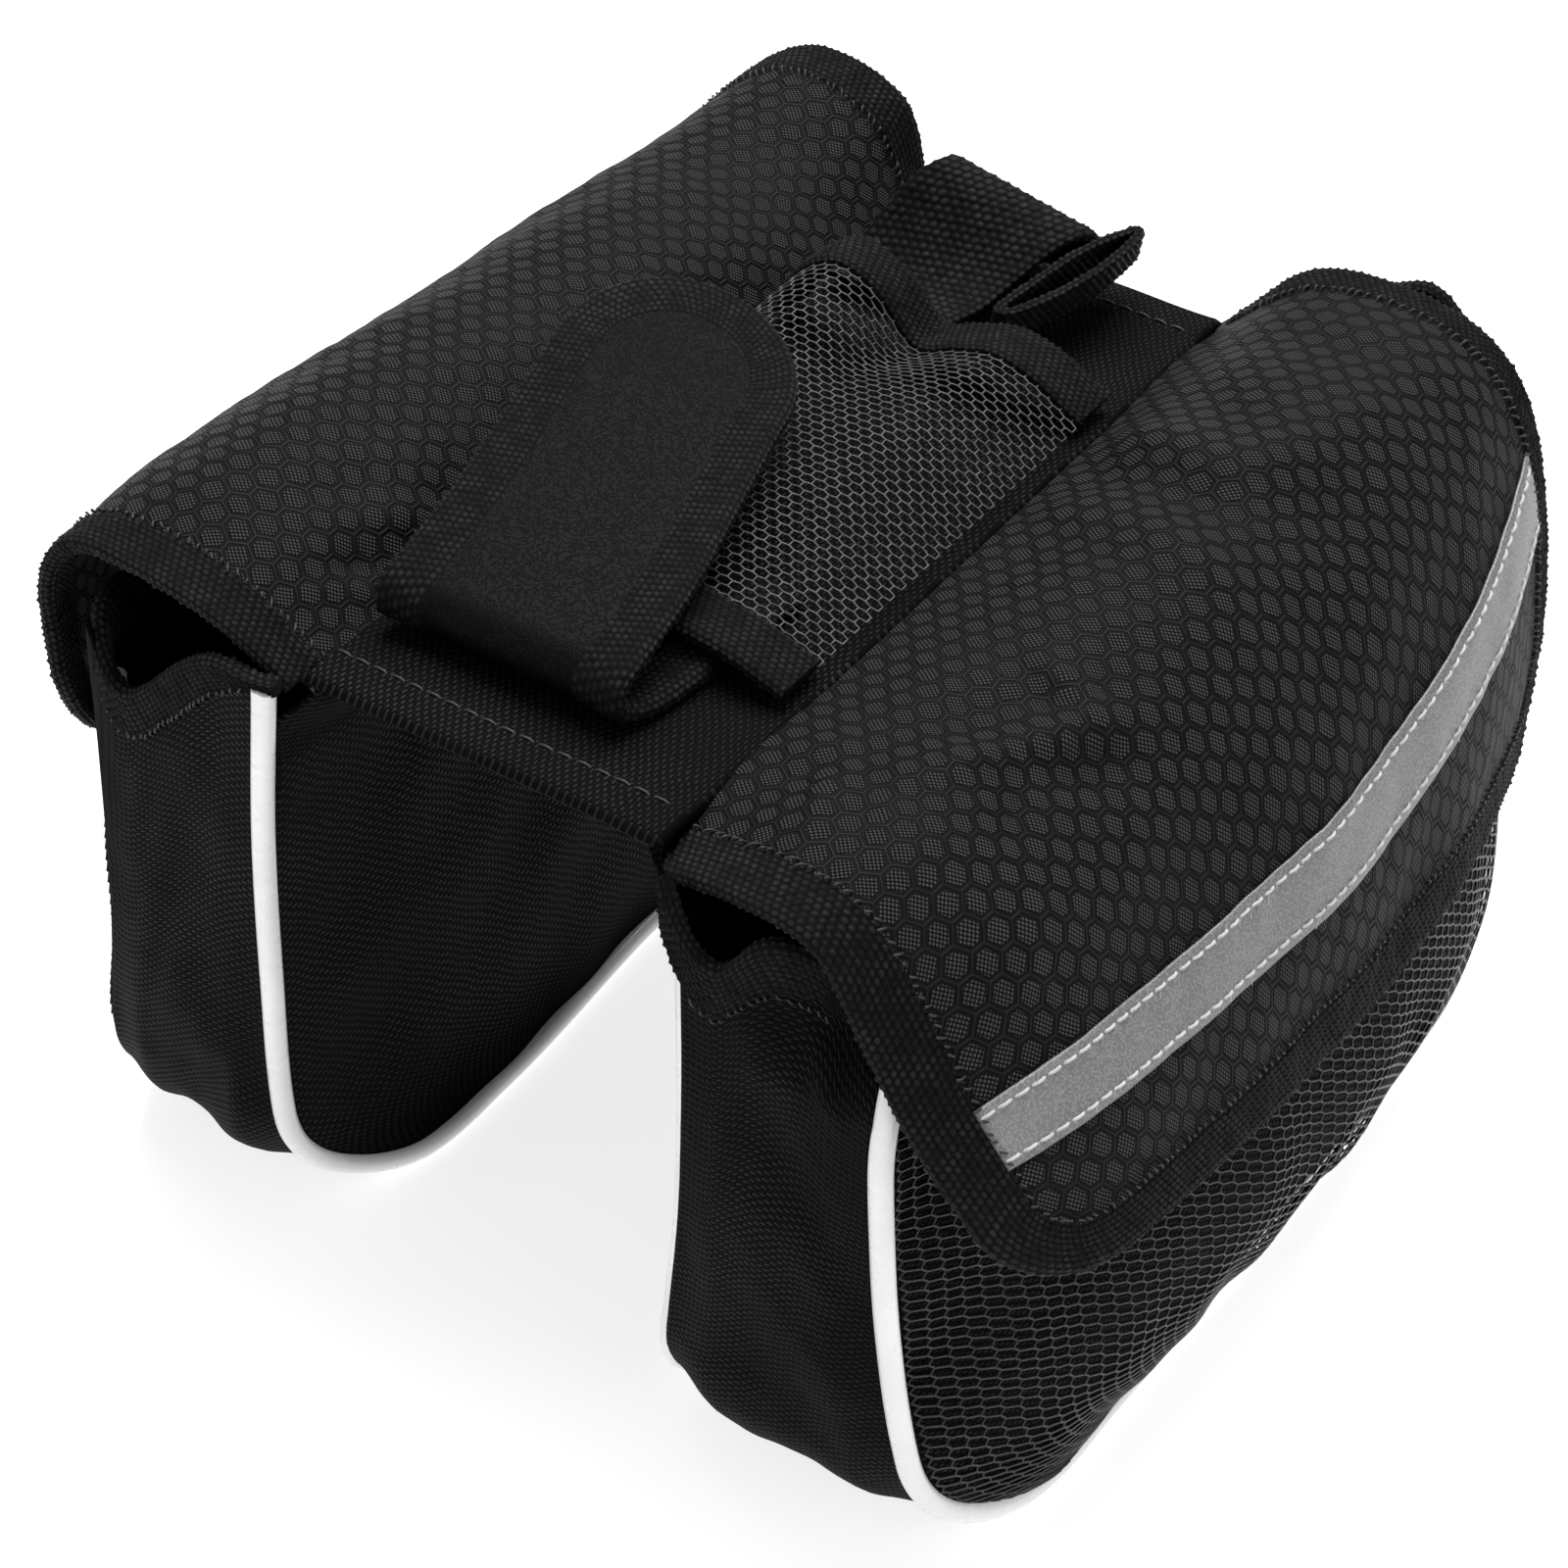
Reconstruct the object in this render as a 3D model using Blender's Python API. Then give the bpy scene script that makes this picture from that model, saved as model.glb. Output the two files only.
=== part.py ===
"""A double frame bag for a bicycle: two soft pouches that hang on both sides of the top tube.

A bridge panel over the tube joins the pouches. Each pouch is a gusset strip between an inner
and an outer panel, with piping along both seams, a bound mouth at the top, a net front and a
flap with a bound edge and a reflective strip. The bridge carries a net pocket, a folded tongue
and a strap with a loop at its far end. Metres, +Z up; X runs across the tube, Y along it, and
the bag stands on its pouches at Z = 0.
"""
import math

import bmesh
import bpy
import numpy as np

MM = 0.001

# Flaps
flap_half_length = 81.5 * MM
flap_corner_radius = 16 * MM
flap_drop = 100 * MM
flap_length = 2 * flap_half_length * 0.97
strip_width = 10 * MM
strip_thick = 0.6 * MM

# Bridge over the top tube; the flaps run past both of its ends
bridge_width = 55 * MM
bridge_short_of_flap = 9 * MM
bridge_length = 2 * (flap_half_length - bridge_short_of_flap)
bridge_middle = -2.5 * MM
bridge_height = 109 * MM
bridge_thick = 2 * MM

# Pouches
pouch_half_length = 80 * MM
pouch_depth = 65 * MM
corner_radius = 23 * MM
panel_bulge = 11 * MM
net_bulge = 14 * MM
inner_bulge = 4 * MM
inner_panel_turn = 0.87
gusset_belly = 2.4 * MM
gusset_slope = 0.25

# Cloth, webbing and piping
cloth_thick = 1.3 * MM
net_thick = 1.0 * MM
webbing_thick = 2.4 * MM
binding_width = 7.5 * MM
piping_diameter = 3.4 * MM
gap = 0.35 * MM

# Net pocket on the bridge
pocket_near = -46 * MM
pocket_far = 39 * MM
pocket_rise = 13 * MM
pocket_binding_width = 9 * MM

# Tongue
tongue_width = 40 * MM
tongue_thick = 1.8 * MM
tongue_binding_width = 8 * MM
tongue_turn = math.radians(-2.5)

# Strap and loop at the far end of the bridge
strap_width = 25 * MM
strap_thick = 2 * MM
loop_width = 9 * MM
loop_thick = 1.4 * MM
loop_lean = np.array((0.30, -0.45, 0.84))

seam = bridge_width / 2
piping_radius = piping_diameter / 2
piping_side = piping_radius + gap
panel_inset = piping_side + gap / 2
edge_lift = piping_radius + 0.1 * MM
floor_swell = (edge_lift - cloth_thick / 2) / gusset_belly

# Colours as the surfaces show them
BLACK_CLOTH = (0.016, 0.016, 0.018)
BLACK_WEBBING = (0.012, 0.012, 0.013)
DARK_NET = (0.03, 0.03, 0.032)
WHITE_PIPING = (0.80, 0.80, 0.80)
GREY_REFLECTIVE = (0.16, 0.16, 0.165)
TONGUE_LEATHER = (0.022, 0.022, 0.024)

# Along the gusset, s runs from -1 at the near mouth over 0 at the middle of the bottom to 1 at
# the far mouth; these are the shares of |s| where the bottom ends and the wall begins.
BOTTOM_END = 0.35
WALL_START = 0.55

# Corners of a pouch, where its piping runs: station s, then how far the inner and the outer
# corner lie out from the bridge seam, as shares of pouch_depth, and how far the gusset swells
# between them, in shares of gusset_belly.
GUSSET = {
    "right": [
        # s      inner  outer  swell
        (-1.00, 0.100, 0.565, -0.2),
        (-0.85, 0.100, 0.580, 0.3),
        (-0.70, 0.088, 0.610, 0.9),
        (-0.55, 0.055, 0.670, 1.0),
        (-0.45, 0.035, 0.740, 1.0),
        (-0.35, 0.005, 0.820, floor_swell),
        (-0.25, 0.002, 0.838, floor_swell),
        (0.00, 0.020, 0.877, floor_swell),
        (0.25, 0.042, 0.908, floor_swell),
        (0.35, 0.050, 0.915, floor_swell),
        (0.45, 0.055, 0.900, 1.0),
        (0.55, 0.060, 0.870, 0.9),
        (0.70, 0.060, 0.820, 0.7),
        (0.85, 0.050, 0.775, 0.6),
        (1.00, 0.035, 0.710, 0.8),
    ],
    "left": [
        (-1.00, 0.055, 0.560, 0.0),
        (-0.85, 0.112, 0.595, 0.1),
        (-0.70, 0.146, 0.640, 0.5),
        (-0.55, 0.165, 0.705, 0.9),
        (-0.45, 0.140, 0.750, 1.0),
        (-0.35, 0.050, 0.820, floor_swell),
        (-0.25, 0.040, 0.850, floor_swell),
        (0.00, 0.072, 0.885, floor_swell),
        (0.25, 0.084, 0.899, floor_swell),
        (0.35, 0.085, 0.900, floor_swell),
        (0.45, 0.090, 0.890, 1.0),
        (0.55, 0.090, 0.860, 0.9),
        (0.70, 0.085, 0.820, 0.7),
        (0.85, 0.070, 0.760, 0.6),
        (1.00, 0.040, 0.670, 0.8),
    ],
}

# Mouth rim across the gusset ends: share of the way from inner to outer edge, then the rim's
# height at the near and at the far end, as shares of bridge_height.
RIM = {
    "right": [
        # across  near    far
        (0.0, 0.930, 0.955),
        (0.2, 0.900, 1.000),
        (0.35, 0.955, 1.042),
        (0.5, 0.965, 1.085),
        (0.65, 0.945, 1.098),
        (0.8, 0.882, 1.045),
        (1.0, 0.825, 0.960),
    ],
    "left": [
        (0.0, 1.005, 0.955),
        (0.25, 1.010, 1.030),
        (0.5, 0.962, 1.090),
        (0.7, 0.905, 1.050),
        (0.85, 0.885, 1.000),
        (0.94, 0.915, 0.970),
        (1.0, 0.985, 0.950),
    ],
}

# How full the outer panel stands at each height: |s| of the row, share of the bulge.
FULLNESS = [
    # |s|   share
    (0.35, 0.00),
    (0.45, 0.50),
    (0.55, 0.95),
    (0.62, 1.00),
    (0.70, 0.88),
    (0.85, 0.55),
    (1.00, 0.20),
]

# Flap sections along the tube: station as a share of flap_half_length at the seam and at the
# hem, then seven points from the seam over the mouth to the hem, each as its reach from the
# seam (share of pouch_depth) and its height (share of bridge_height).
FLAP = {
    "right": [
        # seam   hem     reach, height
        (-0.930, -1.005, [(0.00, .958), (.18, .985), (.370, .978), (.490, .884), (.612, .781), (.757, .697), (.905, .605)]),
        (-0.760, -0.790, [(0.00, .992), (.21, 1.020), (.41, 1.010), (.57, .925), (.70, .810), (.83, .695), (.94, .580)]),
        (-0.430, -0.430, [(0.00, .992), (.21, 1.015), (.43, 1.005), (.62, .930), (.76, .810), (.88, .675), (.97, .530)]),
        (0.000, 0.000, [(0.00, .992), (.22, 1.045), (.46, 1.050), (.67, .975), (.82, .845), (.93, .675), (.99, .490)]),
        (0.430, 0.430, [(0.00, .992), (.22, 1.075), (.47, 1.090), (.69, 1.015), (.85, .865), (.945, .685), (.99, .490)]),
        (0.790, 0.800, [(0.00, .992), (.21, 1.080), (.46, 1.100), (.68, 1.035), (.82, .880), (.89, .680), (.92, .470)]),
        (0.965, 0.970, [(0.00, .970), (.17, 1.075), (.43, 1.085), (.65, 1.030), (.77, .880), (.84, .670), (.87, .460)]),
    ],
    "left": [
        (-0.955, -0.965, [(0.00, .985), (.17, 1.038), (.37, 1.062), (.57, 1.055), (.665, .975), (.675, .850), (.675, .705)]),
        (-0.745, -0.755, [(0.00, .992), (.17, 1.070), (.40, 1.106), (.63, 1.056), (.755, .930), (.79, .780), (.825, .605)]),
        (-0.370, -0.370, [(0.00, .992), (.17, 1.080), (.40, 1.108), (.64, 1.048), (.795, .905), (.87, .745), (.93, .550)]),
        (0.000, 0.000, [(0.00, .992), (.16, 1.080), (.40, 1.102), (.64, 1.042), (.81, .895), (.905, .730), (.96, .515)]),
        (0.430, 0.430, [(0.00, .992), (.16, 1.078), (.39, 1.104), (.63, 1.042), (.815, .895), (.905, .720), (.955, .505)]),
        (0.760, 0.770, [(0.00, .992), (.15, 1.085), (.37, 1.120), (.61, 1.046), (.775, .892), (.86, .720), (.915, .505)]),
        (0.975, 0.980, [(0.015, .980), (.09, 1.125), (.34, 1.163), (.57, 1.066), (.71, .922), (.79, .770), (.85, .590)]),
    ],
}

# How early the sections lean from their place at the seam to their place at the hem.
HEM_EASE = 0.7

# Line of the reflective strip on the flap: station (share from near to far edge), then the
# place of its middle between seam (0) and hem (1).
STRIP_LINE = [
    # along  down
    (0.00, 0.730),
    (0.25, 0.745),
    (0.50, 0.760),
    (0.75, 0.720),
    (1.00, 0.640),
]

# Net pocket on the bridge: rows along it (share of the way from its near to its far edge) with
# its height over the bridge at nine places across, as shares of pocket_rise.
POCKET_ACROSS = (-0.98, -0.90, -0.62, -0.33, -0.05, 0.20, 0.44, 0.63, 0.98)
POCKET = [
    # along  heights from the left seam to the right seam
    (0.00, [.03, .23, .36, .40, .38, .34, .30, .25, .03]),
    (0.15, [.03, .23, .38, .46, .44, .40, .34, .27, .03]),
    (0.42, [.03, .30, .56, .64, .60, .56, .50, .36, .03]),
    (0.67, [.03, .36, .76, .78, .62, .62, .60, .44, .03]),
    (0.90, [.04, .40, .96, .82, .26, .42, .54, .44, .04]),
    (1.00, [.03, .34, .90, .68, .20, .36, .48, .40, .03]),
]

# Middle line of the tongue: sideways (share of half its width), along (share of the bridge's
# half length from its middle) and height over the bridge (share of pocket_rise).
TONGUE = [
    # sideways  along   up
    (-0.14, -0.33, 0.10),
    (-0.18, -0.52, 0.10),
    (-0.24, -0.72, 0.11),
    (-0.32, -0.80, 0.19),
    (-0.35, -0.815, 0.36),
    (-0.36, -0.79, 0.53),
    (-0.37, -0.73, 0.62),
    (-0.47, -0.55, 0.765),
    (-0.66, -0.34, 0.89),
    (-0.87, -0.12, 1.03),
    (-1.02, 0.04, 1.08),
    (-1.18, 0.20, 1.17),
]

# Middle line of the strap that lies folded over the far end: sideways (share of half the
# bridge's width), along (share of the bridge's half length) and height (share of pocket_rise).
STRAP = [
    # sideways  along  up
    (-0.55, 0.62, 0.08),
    (-0.47, 0.70, 0.16),
    (-0.40, 0.775, 0.42),
    (-0.28, 0.85, 0.80),
    (-0.18, 0.905, 0.93),
    (-0.14, 0.945, 0.78),
    (-0.12, 0.963, 0.42),
    (-0.12, 0.965, 0.04),
]

# The strap's direction from side to side at the same places.
STRAP_ASIDE = [
    (0.99, -0.08, -0.02),
    (0.99, -0.08, -0.06),
    (0.97, -0.04, -0.16),
    (0.95, 0.04, -0.25),
    (0.95, 0.08, -0.27),
    (0.96, 0.08, -0.24),
    (0.97, 0.06, -0.15),
    (0.99, 0.03, -0.02),
]

# Loop of webbing beside the strap: a closed leaf, its middle line as for the strap.
LOOP = [
    # sideways  along   up
    (0.156, 0.662, 0.34),
    (0.207, 0.744, 0.42),
    (0.273, 0.823, 0.53),
    (0.373, 0.899, 0.65),
    (0.530, 0.964, 0.76),
    (0.522, 0.877, 0.65),
    (0.455, 0.796, 0.53),
    (0.360, 0.721, 0.42),
    (0.244, 0.648, 0.34),
    (0.167, 0.630, 0.33),
]


def material(name, colour, roughness, metallic=0.0):
    """Makes a plain finish."""
    finish = bpy.data.materials.new(name)
    finish.use_nodes = True
    shader = finish.node_tree.nodes["Principled BSDF"]
    shader.inputs["Base Color"].default_value = (*colour, 1.0)
    shader.inputs["Roughness"].default_value = roughness
    shader.inputs["Metallic"].default_value = metallic
    return finish


def smooth(rows, at):
    """Reads a table at one place, on a smooth curve through its rows; column 0 is the place."""
    table = np.array(rows, dtype=float)
    places = table[:, 0]
    values = table[:, 1:]
    slopes = np.gradient(values, places, axis=0)
    low = int(np.clip(np.searchsorted(places, at) - 1, 0, len(places) - 2))
    span = places[low + 1] - places[low]
    t = (at - places[low]) / span
    start = values[low] * (1 + 2 * t) * (1 - t) ** 2 + slopes[low] * span * t * (1 - t) ** 2
    end = values[low + 1] * t * t * (3 - 2 * t) + slopes[low + 1] * span * t * t * (t - 1)
    return start + end


def lerp(first, second, share):
    return first + (second - first) * share


def build_sheet(name, grid, thickness, finish, closed=False):
    """Makes a sheet of cloth of one thickness from rows of points."""
    rows = np.array(grid)
    count, width = rows.shape[:2]
    bm = bmesh.new()
    verts = [[bm.verts.new(point) for point in row] for row in rows]
    last = count if closed else count - 1
    for i in range(last):
        after = verts[(i + 1) % count]
        for j in range(width - 1):
            bm.faces.new((verts[i][j], verts[i][j + 1], after[j + 1], after[j]))
    bmesh.ops.recalc_face_normals(bm, faces=bm.faces)
    mesh = bpy.data.meshes.new(name)
    bm.to_mesh(mesh)
    bm.free()
    mesh.materials.append(finish)
    mesh.shade_smooth()
    piece = bpy.data.objects.new(name, mesh)
    bpy.context.scene.collection.objects.link(piece)
    wall = piece.modifiers.new("thickness", "SOLIDIFY")
    wall.thickness = thickness
    wall.offset = 0.0
    return piece


def build_tube(name, points, radius, finish):
    """Makes a round cord along a line of points, with filled ends."""
    curve = bpy.data.curves.new(name, "CURVE")
    curve.dimensions = "3D"
    spline = curve.splines.new("POLY")
    spline.points.add(len(points) - 1)
    for knot, point in zip(spline.points, points):
        knot.co = (*point, 1.0)
    curve.bevel_depth = radius
    curve.bevel_resolution = 1
    curve.use_fill_caps = True
    curve.materials.append(finish)
    piece = bpy.data.objects.new(name, curve)
    bpy.context.scene.collection.objects.link(piece)
    return piece


def sign(side):
    return 1 if side == "right" else -1


def outline(s, top, inset=0.0):
    """Gusset line in the plane along the tube: its place along and up, and its outward normal."""
    flat = pouch_half_length - corner_radius
    radius = corner_radius - inset
    k = abs(s)
    if k <= BOTTOM_END:
        along, up, out, down = flat * k / BOTTOM_END, inset, 0.0, 1.0
    elif k <= WALL_START:
        turn = (k - BOTTOM_END) / (WALL_START - BOTTOM_END) * math.pi / 2
        out, down = math.sin(turn), math.cos(turn)
        along = flat + radius * out
        up = corner_radius - radius * down
    else:
        along, out, down = pouch_half_length - inset, 1.0, 0.0
        rise = (k - WALL_START) / (1 - WALL_START)
        up = lerp(corner_radius, top - edge_lift, rise)
    end = -1 if s < 0 else 1
    return end * along, edge_lift + up, end * out, -down


def rim_height(side, end, across):
    near, far = smooth(RIM[side], across)
    return (near if end < 0 else far) * bridge_height


def across_profile(across):
    """How the gusset's middle swells: level over the middle half, falling to both edges."""
    t = min(min(across, 1 - across) / gusset_slope, 1.0)
    return t * t * (3 - 2 * t)


def edge_reach(side, s, across):
    inner, outer, _ = smooth(GUSSET[side], s)
    return seam + pouch_depth * lerp(inner, outer, across)


def gusset_point(side, s, across, top):
    """A point of the gusset's middle surface; top is the height at which its wall ends."""
    along, up, out, down = outline(s, top)
    swell = smooth(GUSSET[side], s)[2] * gusset_belly * across_profile(across)
    return (
        sign(side) * (edge_reach(side, s, across) + piping_side * (1 - 2 * across)),
        along + swell * out,
        up + swell * down,
    )


ACROSS = (0.0, 0.08, 0.2, 0.4, 0.6, 0.8, 0.92, 1.0)
STATIONS = sorted(
    [k * e for k in (0.175, 0.35, 0.39, 0.43, 0.47, 0.51, 0.55, 0.66, 0.77, 0.88, 1.0) for e in (-1, 1)] + [0.0]
)


def build_gusset(side, finish):
    """The strip that makes both ends and the bottom of a pouch."""
    grid = []
    for s in STATIONS:
        row = []
        for across in ACROSS:
            top = rim_height(side, s, across) - binding_width - gap * 2
            row.append(gusset_point(side, s, across, top))
        grid.append(row)
    return build_sheet(f"{side}_gusset", grid, cloth_thick, finish)


PANEL_ROWS = (0.35, 0.39, 0.43, 0.47, 0.51, 0.55, 0.66, 0.77, 0.88, 1.0)
PANEL_COLUMNS = (-1.0, -0.95, -0.85, -0.68, -0.45, -0.2, 0.0, 0.2, 0.45, 0.68, 0.85, 0.95, 1.0)


def panel_point(side, k, u, across, near_top, far_top, bulge, stand_off):
    """A point of a panel: on the chord between the gusset's two walls, swollen to its middle."""
    near = outline(-k, near_top, panel_inset)
    far = outline(k, far_top, panel_inset)
    share = (u + 1) / 2
    reach = lerp(edge_reach(side, -k, across), edge_reach(side, k, across), share)
    level = (k - BOTTOM_END) / (1 - BOTTOM_END)
    bottom = edge_reach(side, u * BOTTOM_END, across)
    chord = lerp(edge_reach(side, -BOTTOM_END, across), edge_reach(side, BOTTOM_END, across), share)
    reach += (bottom - chord) * (1 - level) ** 3
    full = smooth(FULLNESS, k)[0] * (1 - u * u) ** 0.8 * bulge
    away = 1 if across > 0.5 else -1
    return (
        sign(side) * (reach + away * (full + stand_off)),
        lerp(near[0], far[0], share),
        lerp(near[1], far[1], share),
    )


def outer_tops(side):
    near = rim_height(side, -1, 1.0) - binding_width - gap
    far = rim_height(side, 1, 1.0) - binding_width - gap
    return near, far


def build_outer_panel(side, finish):
    near, far = outer_tops(side)
    grid = [[panel_point(side, k, u, 1.0, near, far, panel_bulge, 0.0) for u in PANEL_COLUMNS] for k in PANEL_ROWS]
    return build_sheet(f"{side}_outer_panel", grid, cloth_thick, finish)


def build_net_front(side, finish):
    """The net that covers the outer panel up to its mouth."""
    near, far = outer_tops(side)
    lift = cloth_thick / 2 + net_thick / 2 + gap * 2
    grid = [[panel_point(side, k, u, 1.0, near, far, net_bulge, lift) for u in PANEL_COLUMNS] for k in PANEL_ROWS]
    return build_sheet(f"{side}_net_front", grid, net_thick, finish)


# The inner panel's top rows: share of the way in to the bridge's edge and up under the bridge.
INNER_TUCK = ((0.5, 0.42), (1.0, 0.72), (1.0, 1.0))


def build_inner_panel(side, finish):
    """The panel that faces the tube; its top turns in under the edge of the bridge."""
    top = bridge_height * inner_panel_turn
    grid = [[panel_point(side, k, u, 0.0, top, top, inner_bulge, 0.0) for u in PANEL_COLUMNS] for k in PANEL_ROWS]
    tuck = sign(side) * (seam - cloth_thick / 2 - gap / 2)
    ceiling = bridge_height - bridge_thick - gap
    last = grid[-1]
    half = bridge_length / 2 - gap
    for turn, rise in INNER_TUCK:
        row = []
        for (x, y, z), u in zip(last, PANEL_COLUMNS):
            row.append((lerp(x, tuck, turn), lerp(y, bridge_middle + u * half, turn), lerp(z, ceiling, rise)))
        grid.append(row)
    return build_sheet(f"{side}_inner_panel", grid, cloth_thick, finish)


def build_piping(side, edge, finish):
    """The piping along one corner of the pouch, between the panel and the gusset."""
    across = 0.0 if edge == "inner" else 1.0
    points = []
    for s in STATIONS:
        top = rim_height(side, s, across) - binding_width - gap
        along, up, _, _ = outline(s, top)
        points.append((sign(side) * edge_reach(side, s, across), along, up))
    return build_tube(f"{side}_{edge}_piping", points, piping_radius, finish)


def build_mouth_binding(side, finish):
    """Webbing round the mouth: over the near end, along the outer panel and over the far end."""
    rim = []
    for across in ACROSS:
        rim.append((-1.0, across, None))
    for u in PANEL_COLUMNS[1:-1]:
        rim.append((None, 1.0, u))
    for across in reversed(ACROSS):
        rim.append((1.0, across, None))
    near, far = outer_tops(side)
    grid = []
    for s, across, u in rim:
        if u is None:
            top = rim_height(side, s, across)
            high = gusset_point(side, s, across, top)
        else:
            high = panel_point(side, 1.0, u, 1.0, near, far, panel_bulge, 0.0)
            high = (high[0], high[1], high[2] + binding_width + gap)
        grid.append([(high[0], high[1], high[2] - binding_width + gap), high])
    return build_sheet(f"{side}_mouth_binding", grid, webbing_thick, finish)


def flap_point(side, along, down, lift=0.0):
    """A point of the flap: along from its near (0) to its far edge (1), down from seam to hem."""
    rows = []
    for seam_place, hem_place, section in FLAP[side]:
        points = [(i / (len(section) - 1), reach, height) for i, (reach, height) in enumerate(section)]
        reach, height = smooth(points, down)
        place = lerp(seam_place, hem_place, down ** HEM_EASE)
        rows.append((seam_place, place, reach, height))
    first, last = rows[0][0], rows[-1][0]
    place, reach, height = smooth(rows, lerp(first, last, along))
    start = seam + webbing_thick / 2 + gap
    return np.array((
        sign(side) * (start + pouch_depth * reach),
        flap_half_length * place,
        bridge_height * height + lift,
    ))


def flap_normal(side, along, down):
    step = 0.01
    a = flap_point(side, min(along + step, 1), down) - flap_point(side, max(along - step, 0), down)
    d = flap_point(side, along, min(down + step, 1)) - flap_point(side, along, max(down - step, 0))
    normal = np.cross(a, d) * -sign(side)
    return normal / np.linalg.norm(normal)


def flap_half_width(from_hem, margin):
    """Half the flap's length at a distance from its hem, inside a margin, with round corners."""
    radius = flap_corner_radius - margin
    half = flap_length / 2 - margin
    below = radius - (from_hem - margin)
    if below <= 0:
        return half
    return half - radius + math.sqrt(max(radius ** 2 - below ** 2, 0.0))


def build_flap(side, finish):
    """The cloth of the flap, inside its binding."""
    margin = binding_width + gap
    radius = flap_corner_radius - margin
    drops = [margin + radius * (1 - math.cos(turn)) for turn in np.linspace(0, math.pi / 2, 4)]
    drops += list(np.linspace(drops[-1], flap_drop, 9)[1:])
    grid = []
    for from_hem in drops:
        half = flap_half_width(from_hem, margin)
        row = []
        for u in np.linspace(-1, 1, 13):
            along = 0.5 + u * half / flap_length
            row.append(flap_point(side, along, 1 - from_hem / flap_drop))
        grid.append(row)
    return build_sheet(f"{side}_flap", grid, cloth_thick, finish)


def build_flap_binding(side, finish):
    """Webbing round the flap's near edge, hem and far edge."""
    path = []
    half = flap_length / 2
    for drop in np.linspace(flap_drop, flap_corner_radius, 9):
        path.append((-half, drop, -1.0, 0.0))
    for turn in np.linspace(0, math.pi / 2, 5)[1:-1]:
        c, s = math.cos(turn), math.sin(turn)
        path.append((-half + flap_corner_radius * (1 - c), flap_corner_radius * (1 - s), -c, -s))
    for place in np.linspace(-half + flap_corner_radius, half - flap_corner_radius, 11):
        path.append((place, 0.0, 0.0, -1.0))
    for turn in np.linspace(math.pi / 2, 0, 5)[1:-1]:
        c, s = math.cos(turn), math.sin(turn)
        path.append((half - flap_corner_radius * (1 - c), flap_corner_radius * (1 - s), c, -s))
    for drop in np.linspace(flap_corner_radius, flap_drop, 9):
        path.append((half, drop, 1.0, 0.0))
    grid = []
    for place, drop, out, down in path:
        row = []
        for depth in (0.0, binding_width / 2, binding_width - gap):
            along = 0.5 + (place - out * depth) / flap_length
            row.append(flap_point(side, along, 1 - (drop - down * depth) / flap_drop))
        grid.append(row)
    return build_sheet(f"{side}_flap_binding", grid, webbing_thick, finish)


def build_strip(side, finish):
    """The reflective strip, on the outside of the flap from binding to binding."""
    ends = (binding_width + gap * 2) / flap_length
    off = cloth_thick / 2 + strip_thick / 2 + gap
    grid = []
    for along in np.linspace(ends, 1 - ends, 17):
        middle = smooth(STRIP_LINE, along)[0]
        row = []
        for shift in (-0.5, 0.0, 0.5):
            down = middle + shift * strip_width / flap_drop
            row.append(flap_point(side, along, down) + off * flap_normal(side, along, down))
        grid.append(row)
    return build_sheet(f"{side}_reflective_strip", grid, strip_thick, finish)


def build_bridge(finish):
    """The panel over the tube, flat between the two seams."""
    near = bridge_middle - bridge_length / 2
    level = bridge_height - bridge_thick / 2
    grid = []
    for along in np.linspace(near, near + bridge_length, 5):
        grid.append([(share * seam, along, level) for share in (-1.0, 0.0, 1.0)])
    return build_sheet("bridge", grid, bridge_thick, finish)


def pocket_point(along, across):
    """A point of the net pocket: along from its near (0) to its far edge (1)."""
    heights = smooth([(row[0], *row[1]) for row in POCKET], along)
    up = smooth(list(zip(POCKET_ACROSS, heights)), across)[0]
    base = bridge_height + gap + webbing_thick / 2
    return (across * (seam - gap), lerp(pocket_near, pocket_far, along), base + pocket_rise * up)


def build_pocket(finish_net, finish_webbing):
    """The net pocket that arches over the bridge, with webbing on its two open edges."""
    length = pocket_far - pocket_near
    edge = pocket_binding_width / length
    columns = np.linspace(POCKET_ACROSS[0], POCKET_ACROSS[-1], 17)
    skin = [[pocket_point(a, c) for c in columns] for a in np.linspace(edge + gap / length, 1 - edge - gap / length, 9)]
    near = [[pocket_point(a, c) for c in columns] for a in (0.0, edge)]
    far = [[pocket_point(a, c) for c in columns] for a in (1 - edge, 1.0)]
    return [
        build_sheet("pocket_net", skin, net_thick, finish_net),
        build_sheet("pocket_near_binding", near, webbing_thick, finish_webbing),
        build_sheet("pocket_far_binding", far, webbing_thick, finish_webbing),
    ]


def bridge_line(rows, half_width, at):
    """A line over the bridge, read at a share of its length, with its direction."""
    table = [(i / (len(rows) - 1), *row) for i, row in enumerate(rows)]
    sideways, along, up = smooth(table, at)
    return np.array((
        sideways * half_width,
        bridge_middle + along * bridge_length / 2,
        bridge_height + gap + up * pocket_rise,
    ))


TONGUE_FOLD = 4 / (len(TONGUE) - 1)


def tongue_side(at):
    """The direction across the tongue, level and square to its run past the fold."""
    lean = np.clip((at - TONGUE_FOLD) / (1 - TONGUE_FOLD), 0, 1)
    turn = tongue_turn * lean
    return np.array((math.cos(turn), math.sin(turn), 0.0))


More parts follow.
